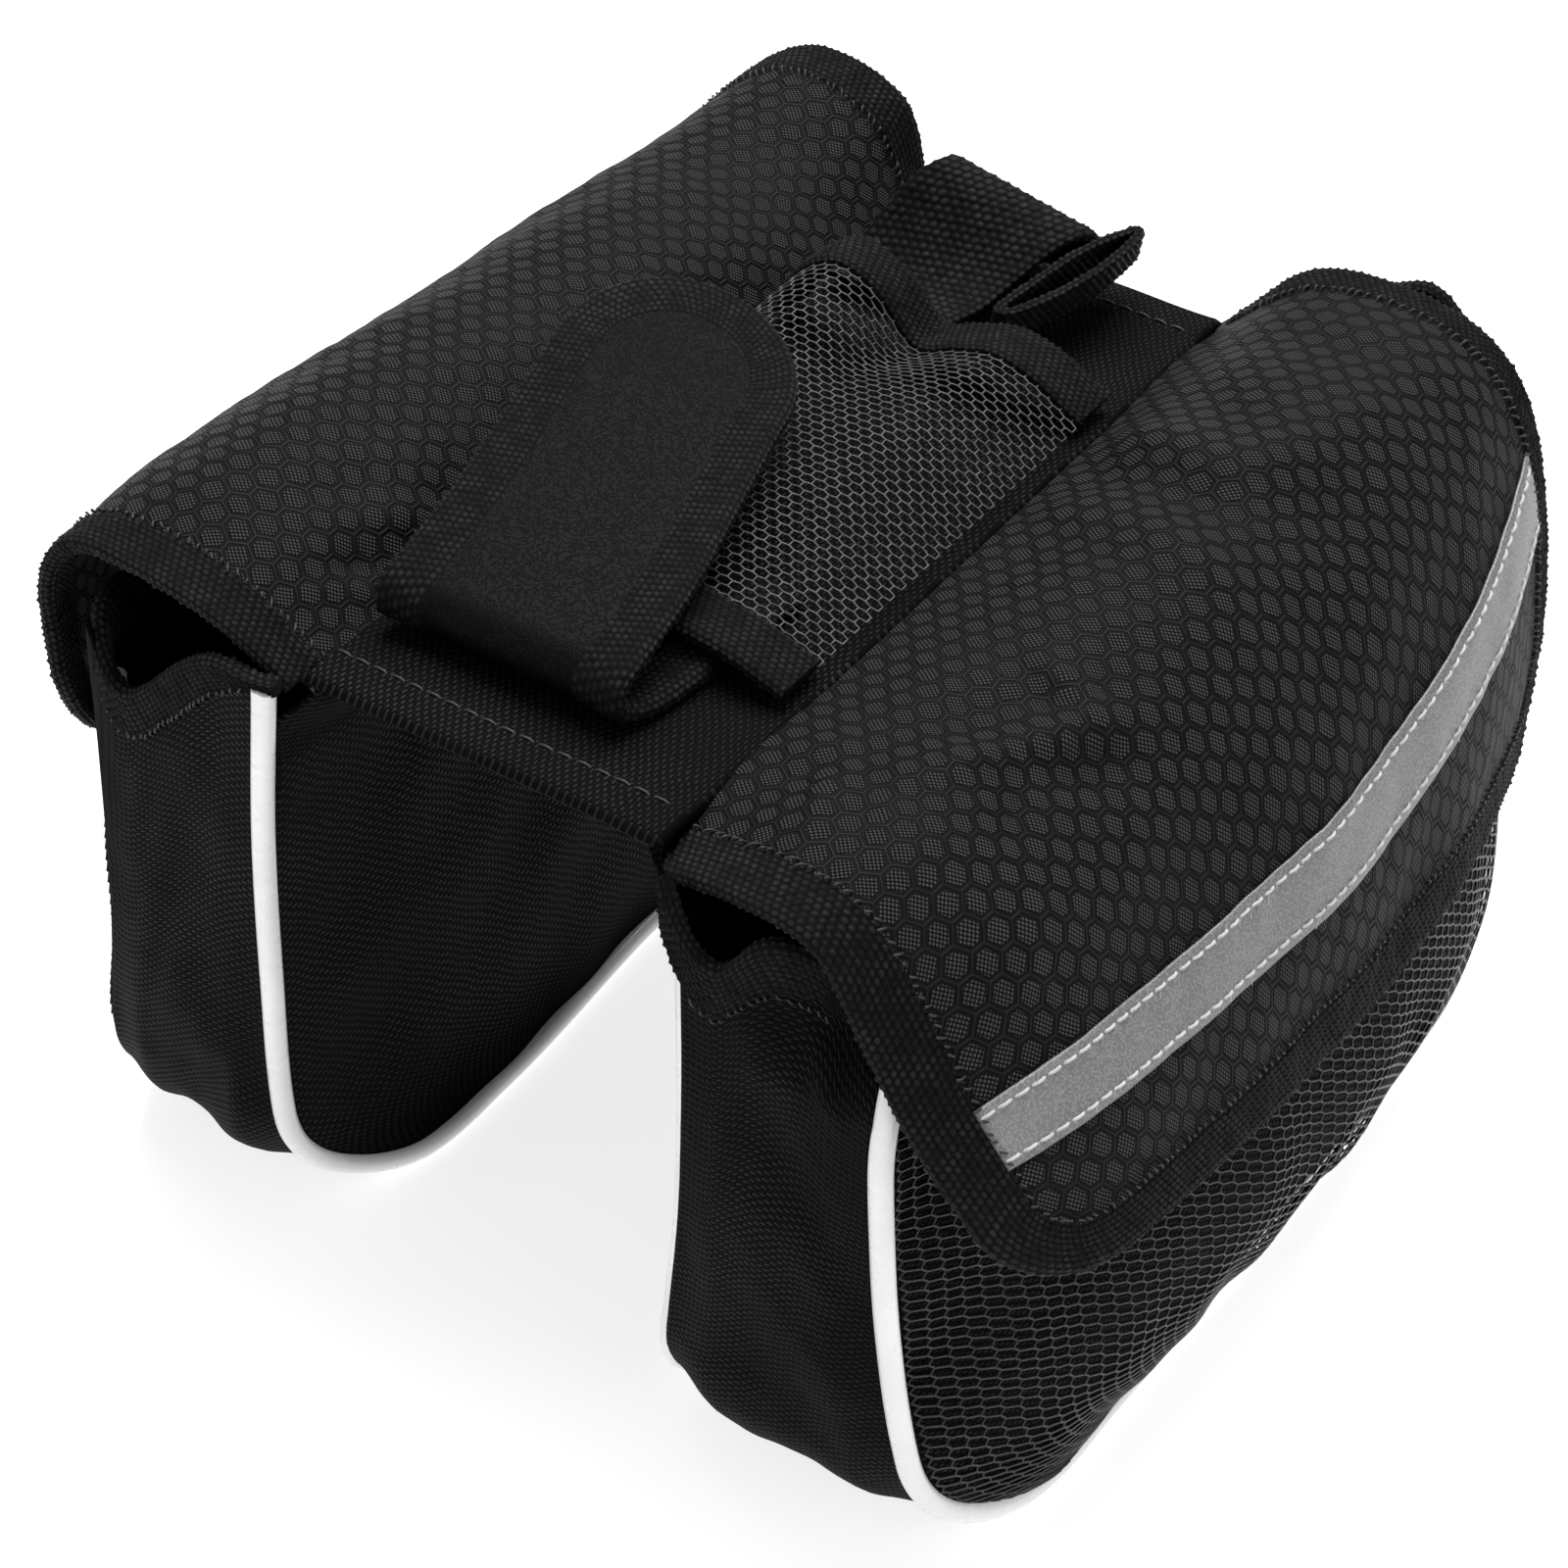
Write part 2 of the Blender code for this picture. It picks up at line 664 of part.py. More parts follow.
def build_tongue(finish_panel, finish_webbing):
    """The tongue: it runs out under the net pocket, folds over and lies back on top of it."""
    half = tongue_width / 2
    stations = np.linspace(0, 1, 37)
    middles = [bridge_line(TONGUE, half, at) for at in stations]
    run = [0.0]
    for before, after in zip(middles, middles[1:]):
        run.append(run[-1] + float(np.linalg.norm(after - before)))
    whole = run[-1]

    def point(distance, offset):
        at = float(np.interp(distance, run, stations))
        return bridge_line(TONGUE, half, at) + offset * tongue_side(at)

    inner = half - tongue_binding_width - gap
    round_start = whole - half
    panel = []
    straight = list(np.linspace(0, round_start, 30))
    for distance in straight:
        panel.append([point(distance, u * inner) for u in np.linspace(-1, 1, 5)])
    for turn in np.linspace(0, math.pi / 2, 6)[1:-1]:
        width = inner * math.cos(turn)
        panel.append([point(round_start + inner * math.sin(turn), u * width) for u in np.linspace(-1, 1, 5)])

    binding = []
    for distance in straight:
        binding.append([point(distance, -half), point(distance, -half + tongue_binding_width)])
    for turn in np.linspace(-math.pi / 2, math.pi / 2, 13)[1:-1]:
        row = []
        for radius in (half, half - tongue_binding_width):
            row.append(point(round_start + radius * math.cos(turn), radius * math.sin(turn)))
        binding.append(row)
    for distance in reversed(straight):
        binding.append([point(distance, half), point(distance, half - tongue_binding_width)])
    return [
        build_sheet("tongue_panel", panel, tongue_thick, finish_panel),
        build_sheet("tongue_binding", binding, webbing_thick, finish_webbing),
    ]


def build_strap(finish):
    """The wide strap that lies folded over the far end of the bridge."""
    directions = [(i / (len(STRAP_ASIDE) - 1), *row) for i, row in enumerate(STRAP_ASIDE)]
    grid = []
    for at in np.linspace(0, 1, 15):
        side = smooth(directions, at)
        side /= np.linalg.norm(side)
        middle = bridge_line(STRAP, seam, at) + np.array((0, 0, strap_thick / 2))
        grid.append([middle - side * strap_width / 2, middle, middle + side * strap_width / 2])
    return build_sheet("rear_strap", grid, strap_thick, finish)


def build_loop(finish):
    """The loop of webbing that stands beside the strap, leaning to the near right."""
    closed = LOOP + LOOP[:2]
    grid = []
    count = 24
    for i in range(count):
        at = (0.5 + i * len(LOOP) / count) / (len(closed) - 1)
        middle = bridge_line(closed, seam, at) + loop_lean * gap
        grid.append([middle - loop_lean * loop_width / 2, middle + loop_lean * loop_width / 2])
    return build_sheet("rear_loop", grid, loop_thick, finish, closed=True)


for old in list(bpy.data.objects):
    bpy.data.objects.remove(old, do_unlink=True)

cloth = material("black_cloth", BLACK_CLOTH, 0.8)
flap_cloth = material("patterned_cloth", BLACK_CLOTH, 0.6)
webbing = material("black_webbing", BLACK_WEBBING, 0.85)
net = material("dark_net", DARK_NET, 0.6)
white = material("white_piping", WHITE_PIPING, 0.3)
reflective = material("grey_reflective", GREY_REFLECTIVE, 0.45)
leather = material("tongue_leather", TONGUE_LEATHER, 0.5)

root = bpy.data.objects.new("bag", None)
bpy.context.scene.collection.objects.link(root)

pieces = [build_bridge(cloth)]
pieces += build_pocket(net, webbing)
pieces += build_tongue(leather, webbing)
pieces += [build_strap(webbing), build_loop(webbing)]
for side in ("left", "right"):
    pieces += [
        build_gusset(side, cloth),
        build_inner_panel(side, cloth),
        build_outer_panel(side, cloth),
        build_net_front(side, net),
        build_piping(side, "inner", white),
        build_piping(side, "outer", white),
        build_mouth_binding(side, webbing),
        build_flap(side, flap_cloth),
        build_flap_binding(side, webbing),
        build_strip(side, reflective),
    ]
for piece in pieces:
    piece.parent = root
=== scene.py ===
import math

import bpy
import numpy as np
from mathutils import Matrix, Vector


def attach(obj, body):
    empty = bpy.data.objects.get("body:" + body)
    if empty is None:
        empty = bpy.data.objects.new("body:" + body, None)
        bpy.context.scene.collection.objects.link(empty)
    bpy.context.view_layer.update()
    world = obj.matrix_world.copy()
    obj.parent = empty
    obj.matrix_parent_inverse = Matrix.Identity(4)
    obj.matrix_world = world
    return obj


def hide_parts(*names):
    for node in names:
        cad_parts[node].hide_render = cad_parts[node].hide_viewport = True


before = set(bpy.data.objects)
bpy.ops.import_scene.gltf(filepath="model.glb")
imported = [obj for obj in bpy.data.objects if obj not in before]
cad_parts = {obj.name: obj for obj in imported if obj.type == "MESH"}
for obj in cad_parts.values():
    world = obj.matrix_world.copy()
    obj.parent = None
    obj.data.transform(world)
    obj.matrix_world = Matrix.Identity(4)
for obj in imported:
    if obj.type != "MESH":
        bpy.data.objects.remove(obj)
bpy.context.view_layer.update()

MM = 0.001

# Gussets
# The strips of plain-woven nylon that make both ends and the bottom of each pouch. Each is one
# long band, sewn between the two panels with piping in the seams, and it sags in soft dents.
pouch_half_length = 80 * MM
pouch_depth = 65 * MM
corner_radius = 23 * MM
gusset_belly = 2.4 * MM
bridge_height = 109 * MM
seam = 27.5 * MM
cloth_thick = 1.0 * MM
binding_width = 7.5 * MM
piping_radius = 1.7 * MM
cloth_into_piping = 1.1 * MM
edge_lift = piping_radius + 0.1 * MM
floor_swell = (edge_lift - 0.65 * MM) / gusset_belly
BOTTOM_END = 0.35
WALL_START = 0.55

# Corners of a pouch: station s from the near mouth (-1) over the bottom (0) to the far mouth (1),
# reach of the inner and outer corner in shares of pouch_depth, swell in shares of gusset_belly.
GUSSET = {
    "right": [
        # s      inner  outer  swell
        (-1.00, 0.100, 0.565, -0.2),
        (-0.85, 0.100, 0.580, 0.3),
        (-0.70, 0.088, 0.610, 0.9),
        (-0.55, 0.055, 0.670, 1.0),
        (-0.45, 0.035, 0.740, 1.0),
        (-0.35, 0.005, 0.820, floor_swell),
        (-0.25, 0.002, 0.838, floor_swell),
        (0.00, 0.020, 0.877, floor_swell),
        (0.25, 0.042, 0.908, floor_swell),
        (0.35, 0.050, 0.915, floor_swell),
        (0.45, 0.055, 0.900, 1.0),
        (0.55, 0.060, 0.870, 0.9),
        (0.70, 0.060, 0.820, 0.7),
        (0.85, 0.050, 0.775, 0.6),
        (1.00, 0.035, 0.710, 0.8),
    ],
    "left": [
        (-1.00, 0.055, 0.560, 0.0),
        (-0.85, 0.112, 0.595, 0.1),
        (-0.70, 0.146, 0.640, 0.5),
        (-0.55, 0.165, 0.705, 0.9),
        (-0.45, 0.140, 0.750, 1.0),
        (-0.35, 0.050, 0.820, floor_swell),
        (-0.25, 0.040, 0.850, floor_swell),
        (0.00, 0.072, 0.885, floor_swell),
        (0.25, 0.084, 0.899, floor_swell),
        (0.35, 0.085, 0.900, floor_swell),
        (0.45, 0.090, 0.890, 1.0),
        (0.55, 0.090, 0.860, 0.9),
        (0.70, 0.085, 0.820, 0.7),
        (0.85, 0.070, 0.760, 0.6),
        (1.00, 0.040, 0.670, 0.8),
    ],
}

# Height of the mouth's rim from its inner to its outer edge, in shares of bridge_height.
RIM = {
    "right": [
        # across  near    far
        (0.0, 0.930, 0.955),
        (0.2, 0.900, 1.000),
        (0.35, 0.955, 1.042),
        (0.5, 0.965, 1.085),
        (0.65, 0.945, 1.098),
        (0.8, 0.882, 1.045),
        (1.0, 0.825, 0.960),
    ],
    "left": [
        (0.0, 1.005, 0.955),
        (0.25, 1.010, 1.030),
        (0.5, 0.962, 1.090),
        (0.7, 0.905, 1.050),
        (0.85, 0.885, 1.000),
        (0.94, 0.915, 0.970),
        (1.0, 0.985, 0.950),
    ],
}

# Dents and folds: a line on the cloth from its first to its second place, in millimetres along
# the strip from the near mouth and across it from the inner edge, then width and height.
GUSSET_FOLDS = {
    "right": [
        # along, across  along, across  width  height
        (20, 4, 44, 30, 6.0, -1.1),
        (30, 20, 60, 10, 5.0, 0.8),
        (62, 6, 88, 34, 7.0, -1.2),
        (78, 2, 110, 22, 5.0, 0.9),
        (96, 20, 124, 44, 6.0, -0.8),
        (10, 14, 14, 34, 4.0, 0.7),
    ],
    "left": [
        (18, 6, 50, 22, 6.0, -1.0),
        (50, 24, 76, 8, 6.0, 0.9),
        (66, 2, 96, 26, 4.0, -1.3),
        (74, 0, 106, 20, 3.6, 1.2),
        (84, 10, 112, 38, 5.0, -1.0),
        (12, 10, 16, 30, 4.0, 0.6),
    ],
}


def sign(side):
    return 1 if side == "right" else -1


def spline(places, values, at):
    """Reads values on a smooth curve through their places, at many places at once."""
    places = np.array(places, float)
    values = np.array(values, float)
    at = np.asarray(at, float)
    slopes = np.gradient(values, places, axis=0)
    low = np.clip(np.searchsorted(places, at) - 1, 0, len(places) - 2)
    span = places[low + 1] - places[low]
    t = (at - places[low]) / span
    if values.ndim == 3:
        column = np.arange(len(at))
        first, second = values[low, column], values[low + 1, column]
        leave, arrive = slopes[low, column], slopes[low + 1, column]
    else:
        first, second = values[low], values[low + 1]
        leave, arrive = slopes[low], slopes[low + 1]
    t, span = t[..., None], span[..., None]
    start = first * (1 + 2 * t) * (1 - t) ** 2 + leave * span * t * (1 - t) ** 2
    end = second * t * t * (3 - 2 * t) + arrive * span * t * t * (t - 1)
    return start + end


def table(rows, at):
    """Reads a table whose first column is the place."""
    rows = np.array(rows, float)
    return spline(rows[:, 0], rows[:, 1:], at)


def lerp(first, second, share):
    return first + (second - first) * share


def unit(vectors):
    return vectors / np.maximum(np.linalg.norm(vectors, axis=-1, keepdims=True), 1e-12)


def facing(grid):
    """Normals of a grid of points."""
    return unit(np.cross(np.gradient(grid, axis=1), np.gradient(grid, axis=0)))


def folds(rows, along, across):
    """Height of folds and dents at places on a cloth, all in metres."""
    height = np.zeros_like(along)
    for from_along, from_across, to_along, to_across, width, rise in rows:
        start = np.array((from_along, from_across)) * MM
        way = np.array((to_along, to_across)) * MM - start
        run = np.hypot(*way)
        share = np.clip(((along - start[0]) * way[0] + (across - start[1]) * way[1]) / run ** 2, 0, 1)
        off = np.hypot(along - start[0] - share * way[0], across - start[1] - share * way[1])
        crest = 0.35 + 0.65 * np.sin(math.pi * share)
        height += rise * MM * crest * np.exp(-(off / (width * MM)) ** 2)
    return height


def swells(along, across, spacing, seed):
    """Soft random swells over a cloth, from about -1 to 1, at a spacing in metres."""
    dice = np.random.default_rng(seed)
    height = np.zeros_like(along)
    for _ in range(8):
        turn, phase = dice.uniform(0, 2 * math.pi, 2)
        wave = 2 * math.pi / (spacing * dice.uniform(0.7, 1.7))
        height += np.sin(wave * (math.cos(turn) * along + math.sin(turn) * across) + phase)
    return height / 3


def mesh_piece(name, points, quads, cloth_places, finish):
    """Makes an object from points and four-cornered faces; cloth_places are its UVs per corner."""
    a, b, c, d = (points[quads[:, i]] for i in range(4))
    volume = (a * np.cross(b, c)).sum() + (a * np.cross(c, d)).sum()
    if volume < 0:
        quads = quads[:, ::-1]
        cloth_places = cloth_places[:, ::-1]
    mesh = bpy.data.meshes.new(name)
    mesh.vertices.add(len(points))
    mesh.vertices.foreach_set("co", points.astype(np.float32).ravel())
    mesh.loops.add(quads.size)
    mesh.loops.foreach_set("vertex_index", quads.astype(np.int32).ravel())
    mesh.polygons.add(len(quads))
    mesh.polygons.foreach_set("loop_start", np.arange(0, quads.size, 4, dtype=np.int32))
    layer = mesh.uv_layers.new(name="cloth")
    layer.uv.foreach_set("vector", cloth_places.astype(np.float32).ravel())
    mesh.update(calc_edges=True)
    mesh.shade_smooth()
    mesh.materials.append(finish)
    piece = bpy.data.objects.new(name, mesh)
    bpy.context.scene.collection.objects.link(piece)
    return piece


def shell(name, grid, places, thick, finish):
    """A closed cloth with soft edges round a grid of its middle points; places are in metres."""
    normals = facing(grid)
    grid = np.concatenate([grid[:1], grid, grid[-1:]])
    grid = np.concatenate([grid[:, :1], grid, grid[:, -1:]], axis=1)
    lip = thick * 0.4
    grid[0] += unit(grid[1] - grid[2]) * lip
    grid[-1] += unit(grid[-2] - grid[-3]) * lip
    grid[:, 0] += unit(grid[:, 1] - grid[:, 2]) * lip
    grid[:, -1] += unit(grid[:, -2] - grid[:, -3]) * lip
    normals = np.pad(normals, ((1, 1), (1, 1), (0, 0)), mode="edge")
    places = np.pad(places, ((1, 1), (1, 1), (0, 0)), mode="edge")
    rows, columns = grid.shape[:2]
    rim = np.ones((rows, columns), bool)
    rim[1:-1, 1:-1] = False
    half = np.where(rim, 0.0, thick / 2)[..., None]
    front_index = np.arange(rows * columns).reshape(rows, columns)
    back_index = front_index.copy()
    back_index[~rim] = rows * columns + np.arange((~rim).sum())
    points = np.concatenate([
        (grid + normals * half).reshape(-1, 3),
        (grid - normals * half)[~rim],
    ])

    def faces(index):
        corners = [index[:-1, :-1], index[:-1, 1:], index[1:, 1:], index[1:, :-1]]
        return np.stack(corners, axis=-1).reshape(-1, 4)

    corner = faces(front_index)
    spots = places.reshape(-1, 2)[corner] * 10
    quads = np.concatenate([corner, faces(back_index)[:, ::-1]])
    return mesh_piece(name, points, quads, np.concatenate([spots, spots[:, ::-1]]), finish)


def outline(s, top, inset=0.0):
    """Gusset line in the plane along the tube: its place along and up, and its outward normal."""
    flat = pouch_half_length - corner_radius
    radius = corner_radius - inset
    k = np.abs(s)
    turn = np.clip((k - BOTTOM_END) / (WALL_START - BOTTOM_END), 0, 1) * math.pi / 2
    out, down = np.sin(turn), np.cos(turn)
    along = np.where(k <= BOTTOM_END, flat * k / BOTTOM_END, flat + radius * out)
    rise = (k - WALL_START) / (1 - WALL_START)
    wall = k > WALL_START
    up = np.where(wall, lerp(corner_radius, top - edge_lift, rise), corner_radius - radius * down)
    end = np.where(s < 0, -1.0, 1.0)
    return end * along, edge_lift + up, end * out, -down


def rim_height(side, end, across):
    near, far = table(RIM[side], across).T
    return np.where(end < 0, near, far) * bridge_height


def mouth_leaning(side, s, across, up):
    """How far the right pouch's near mouth leans in under the flap at its outer corner."""
    rise = np.clip((up - 84 * MM) / (11 * MM), 0, 1)
    aside = np.clip((across - 0.3) / 0.5, 0, 1)
    lean = np.where(s < 0, 6.0 * MM if side == "right" else 0.0, 0.0)
    return lean * rise * rise * (3 - 2 * rise) * aside


def edge_reach(side, s, across):
    inner, outer, _ = table(GUSSET[side], s).T
    return seam + pouch_depth * lerp(inner, outer, across)


def gusset_points(side, s, across, top):
    """Points of the gusset's middle surface; top is the height at which its wall ends."""
    along, up, out, down = outline(s, top)
    t = np.minimum(np.minimum(across, 1 - across) / 0.25, 1.0)
    swell = table(GUSSET[side], s)[:, 2] * gusset_belly * t * t * (3 - 2 * t)
    return np.stack((
        sign(side) * (edge_reach(side, s, across) + cloth_into_piping * (1 - 2 * across)),
        along + swell * out + mouth_leaning(side, s, across, up),
        up + swell * down,
    ), axis=-1)


def calc(tree, operation, *inputs):
    """Adds one Math node; each input is a number or another node's output."""
    node = tree.nodes.new("ShaderNodeMath")
    node.operation = operation
    for place, value in enumerate(inputs):
        if isinstance(value, (int, float)):
            node.inputs[place].default_value = value
        else:
            tree.links.new(value, node.inputs[place])
    return node.outputs[0]


def spread(tree, value, low, high, to_low, to_high):
    """Maps a value from one range to another, with soft ends."""
    node = tree.nodes.new("ShaderNodeMapRange")
    node.interpolation_type = "SMOOTHSTEP"
    tree.links.new(value, node.inputs["Value"])
    node.inputs["From Min"].default_value = low
    node.inputs["From Max"].default_value = high
    node.inputs["To Min"].default_value = to_low
    node.inputs["To Max"].default_value = to_high
    return node.outputs["Result"]


def blend(tree, share, first, second):
    """Mixes two greys or colours by a share."""
    node = tree.nodes.new("ShaderNodeMix")
    node.data_type = "RGBA"
    tree.links.new(share, node.inputs["Factor"])
    for socket, colour in ((node.inputs["A"], first), (node.inputs["B"], second)):
        if isinstance(colour, tuple):
            socket.default_value = (*colour, 1.0)
        else:
            tree.links.new(colour, socket)
    return node.outputs["Result"]


def cloud(tree, scale, detail=3.0):
    """Noise in the object's own space, at so many cells a metre."""
    place = tree.nodes.new("ShaderNodeTexCoord")
    noise = tree.nodes.new("ShaderNodeTexNoise")
    noise.inputs["Scale"].default_value = scale
    noise.inputs["Detail"].default_value = detail
    tree.links.new(place.outputs["Object"], noise.inputs["Vector"])
    return noise.outputs["Fac"]


def cloth_place(tree):
    """The place on the cloth in millimetres: along and across."""
    place = tree.nodes.new("ShaderNodeUVMap")
    place.uv_map = "cloth"
    parts = tree.nodes.new("ShaderNodeSeparateXYZ")
    tree.links.new(place.outputs["UV"], parts.inputs["Vector"])
    along = calc(tree, "MULTIPLY", parts.outputs["X"], 100.0)
    across = calc(tree, "MULTIPLY", parts.outputs["Y"], 100.0)
    return along, across


def new_group(name, inputs, outputs):
    """An empty node group with named number sockets."""
    group = bpy.data.node_groups.new(name, "ShaderNodeTree")
    for label, start in inputs:
        socket = group.interface.new_socket(name=label, in_out="INPUT", socket_type="NodeSocketFloat")
        socket.default_value = start
    for label in outputs:
        group.interface.new_socket(name=label, in_out="OUTPUT", socket_type="NodeSocketFloat")
    return group, group.nodes.new("NodeGroupInput"), group.nodes.new("NodeGroupOutput")


def place_group(tree, group, **values):
    node = tree.nodes.new("ShaderNodeGroup")
    node.node_tree = group
    for label, value in values.items():
        node.inputs[label.replace("_", " ")].default_value = value
    return node


def new_finish(name, roughness=0.6, sheen=0.0, sheen_roughness=0.4, specular=0.5):
    """A material with its Principled shader; the constant sockets are set here."""
    finish = bpy.data.materials.new(name)
    finish.use_nodes = True
    shader = finish.node_tree.nodes["Principled BSDF"]
    shader.inputs["Roughness"].default_value = roughness
    shader.inputs["Sheen Weight"].default_value = sheen
    shader.inputs["Sheen Roughness"].default_value = sheen_roughness
    shader.inputs["Specular IOR Level"].default_value = specular
    return finish, finish.node_tree, shader


def bump(tree, shader, height, distance, strength=1.0):
    node = tree.nodes.new("ShaderNodeBump")
    node.inputs["Distance"].default_value = distance
    node.inputs["Strength"].default_value = strength
    tree.links.new(height, node.inputs["Height"])
    tree.links.new(node.outputs["Normal"], shader.inputs["Normal"])


# Plain weave: threads one over, one under, as short dashes in rows.
threads = [("Thread Along", 0.8), ("Thread Across", 0.7)]
plain_weave, entry, leave = new_group("plain_weave", threads, ["Height", "Gap"])
along_mm, across_mm = cloth_place(plain_weave)
wander = calc(plain_weave, "SUBTRACT", cloud(plain_weave, 180.0, 2.0), 0.5)
wander = calc(plain_weave, "MULTIPLY", wander, 0.9)
a = calc(plain_weave, "DIVIDE", calc(plain_weave, "ADD", along_mm, wander), entry.outputs["Thread Along"])
b = calc(plain_weave, "DIVIDE", calc(plain_weave, "ADD", across_mm, wander), entry.outputs["Thread Across"])
sine_a = calc(plain_weave, "SINE", calc(plain_weave, "MULTIPLY", a, math.pi))
sine_b = calc(plain_weave, "SINE", calc(plain_weave, "MULTIPLY", b, math.pi))
over = calc(plain_weave, "GREATER_THAN", calc(plain_weave, "MULTIPLY", sine_a, sine_b), 0.0)
size_a = calc(plain_weave, "ABSOLUTE", sine_a)
size_b = calc(plain_weave, "ABSOLUTE", sine_b)
dash_long = [calc(plain_weave, "POWER", size, 0.35) for size in (size_a, size_b)]
dash_wide = [calc(plain_weave, "POWER", size, 0.9) for size in (size_a, size_b)]
dash_along = calc(plain_weave, "MULTIPLY", dash_long[0], dash_wide[1])
dash_across = calc(plain_weave, "MULTIPLY", dash_wide[0], dash_long[1])
under = calc(plain_weave, "SUBTRACT", 1.0, over)
dash = calc(plain_weave, "ADD", calc(plain_weave, "MULTIPLY", dash_along, over),
            calc(plain_weave, "MULTIPLY", calc(plain_weave, "MULTIPLY", dash_across, 0.35), under))
plain_weave.links.new(dash, leave.inputs["Height"])
plain_weave.links.new(spread(plain_weave, dash, 0.25, 0.7, 1.0, 0.0), leave.inputs["Gap"])

# Lint: pale specks and short hairs that cling to dark cloth.
lint, entry, leave = new_group("lint", [("Amount", 0.5)], ["Mask"])
hairs = lint.nodes.new("ShaderNodeTexVoronoi")
hairs.inputs["Scale"].default_value = 420.0
stretch = lint.nodes.new("ShaderNodeMapping")
stretch.inputs["Rotation"].default_value = (0.4, 0.9, 0.3)
stretch.inputs["Scale"].default_value = (1.0, 0.16, 0.5)
coordinates = lint.nodes.new("ShaderNodeTexCoord")
lint.links.new(coordinates.outputs["Object"], stretch.inputs["Vector"])
lint.links.new(stretch.outputs["Vector"], hairs.inputs["Vector"])
fleck = spread(lint, hairs.outputs["Distance"], 0.0, 0.07, 1.0, 0.0)
patchy = spread(lint, cloud(lint, 60.0, 2.0), 0.5, 0.7, 0.0, 1.0)
fleck = calc(lint, "MULTIPLY", fleck, patchy)
lint.links.new(calc(lint, "MULTIPLY", fleck, entry.outputs["Amount"]), leave.inputs["Mask"])

black_cloth, tree, shader = new_finish("black_plain_weave", specular=0.06)
weave = place_group(tree, plain_weave, Thread_Along=0.9, Thread_Across=0.62)
flecks = place_group(tree, lint, Amount=0.15)
worn = spread(tree, cloud(tree, 45.0, 4.0), 0.35, 0.7, 0.0, 1.0)
thread_colour = blend(tree, worn, (0.0062, 0.0062, 0.0065), (0.0165, 0.0165, 0.0171))
# Painted glints and painted shade: the threads are coloured far lighter than the near-black gaps between
# them, for light on the threads and shade in the weave's hollows.
threads = blend(tree, weave.outputs["Gap"], thread_colour, (0.0005, 0.0005, 0.0006))
tree.links.new(blend(tree, flecks.outputs["Mask"], threads, (0.09, 0.09, 0.095)), shader.inputs["Base Color"])
tree.links.new(spread(tree, weave.outputs["Height"], 0.1, 0.9, 0.78, 0.48), shader.inputs["Roughness"])
bump(tree, shader, weave.outputs["Height"], 0.22 * MM, 0.9)

GUSSET_ROWS = 165
GUSSET_COLUMNS = 41


def settle(piece, slot, *nodes):
    """Puts a piece on the frame under its body and hides the solids that it stands for; slot is not used."""
    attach(piece, "root")
    if nodes:
        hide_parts(*nodes)
    return piece


gussets = {}
for side in ("left", "right"):
    stations, shares = np.linspace(-1, 1, GUSSET_ROWS), np.linspace(0, 1, GUSSET_COLUMNS)
    s, across = (g.ravel() for g in np.meshgrid(stations, shares, indexing="ij"))
    top = rim_height(side, s, across) - 2 * MM
    grid = gusset_points(side, s, across, top).reshape(GUSSET_ROWS, GUSSET_COLUMNS, 3)
    middle = grid[:, GUSSET_COLUMNS // 2]
    run = np.concatenate([[0], np.cumsum(np.linalg.norm(np.diff(middle, axis=0), axis=1))])
    reach = np.abs(grid[..., 0] - grid[:, :1, 0])
    along = np.repeat(run[:, None], GUSSET_COLUMNS, axis=1)
    hold = np.sin(math.pi * across.reshape(along.shape)) ** 0.5
    lift = folds(GUSSET_FOLDS[side], along, reach) + 0.28 * MM * swells(along, reach, 22 * MM, 3)
    lift += 0.12 * MM * swells(along, reach, 8 * MM, 5)
    away = facing(grid)
    heart = np.array((np.mean(grid[..., 0]), 0, 60 * MM))
    away *= np.sign((away * (grid - heart)).sum(axis=-1, keepdims=True))
    grid = grid + away * (lift * hold)[..., None]
    grid[..., 2] = np.maximum(grid[..., 2], cloth_thick / 2)
    places = np.stack((reach, along), axis=-1)
    gussets[side] = shell(f"{side}_gusset_cloth", grid, places, cloth_thick, black_cloth)
    settle(gussets[side], "black_cloth", f"{side}_gusset")

# Panels and net fronts
# The outer panel is plain cloth that bellies out, with a coarse knitted net sewn over it as a
# front. The inner panel faces the tube, and its top turns in under the edge of the bridge.
panel_bulge = 11 * MM
net_bulge = 14 * MM
inner_bulge = 4 * MM
inner_panel_turn = 0.87
panel_inset = 1.0 * MM
bridge_thick = 2 * MM
bridge_length = 145 * MM
bridge_middle = -2.5 * MM
net_strand = 0.44 * MM
net_cell_along = 2.9 * MM
net_cell_up = 2.1 * MM

FULLNESS = [
    # |s|   share
    (0.35, 0.00),
    (0.45, 0.50),
    (0.55, 0.95),
    (0.62, 1.00),
    (0.70, 0.88),
    (0.85, 0.55),
    (1.00, 0.20),
]


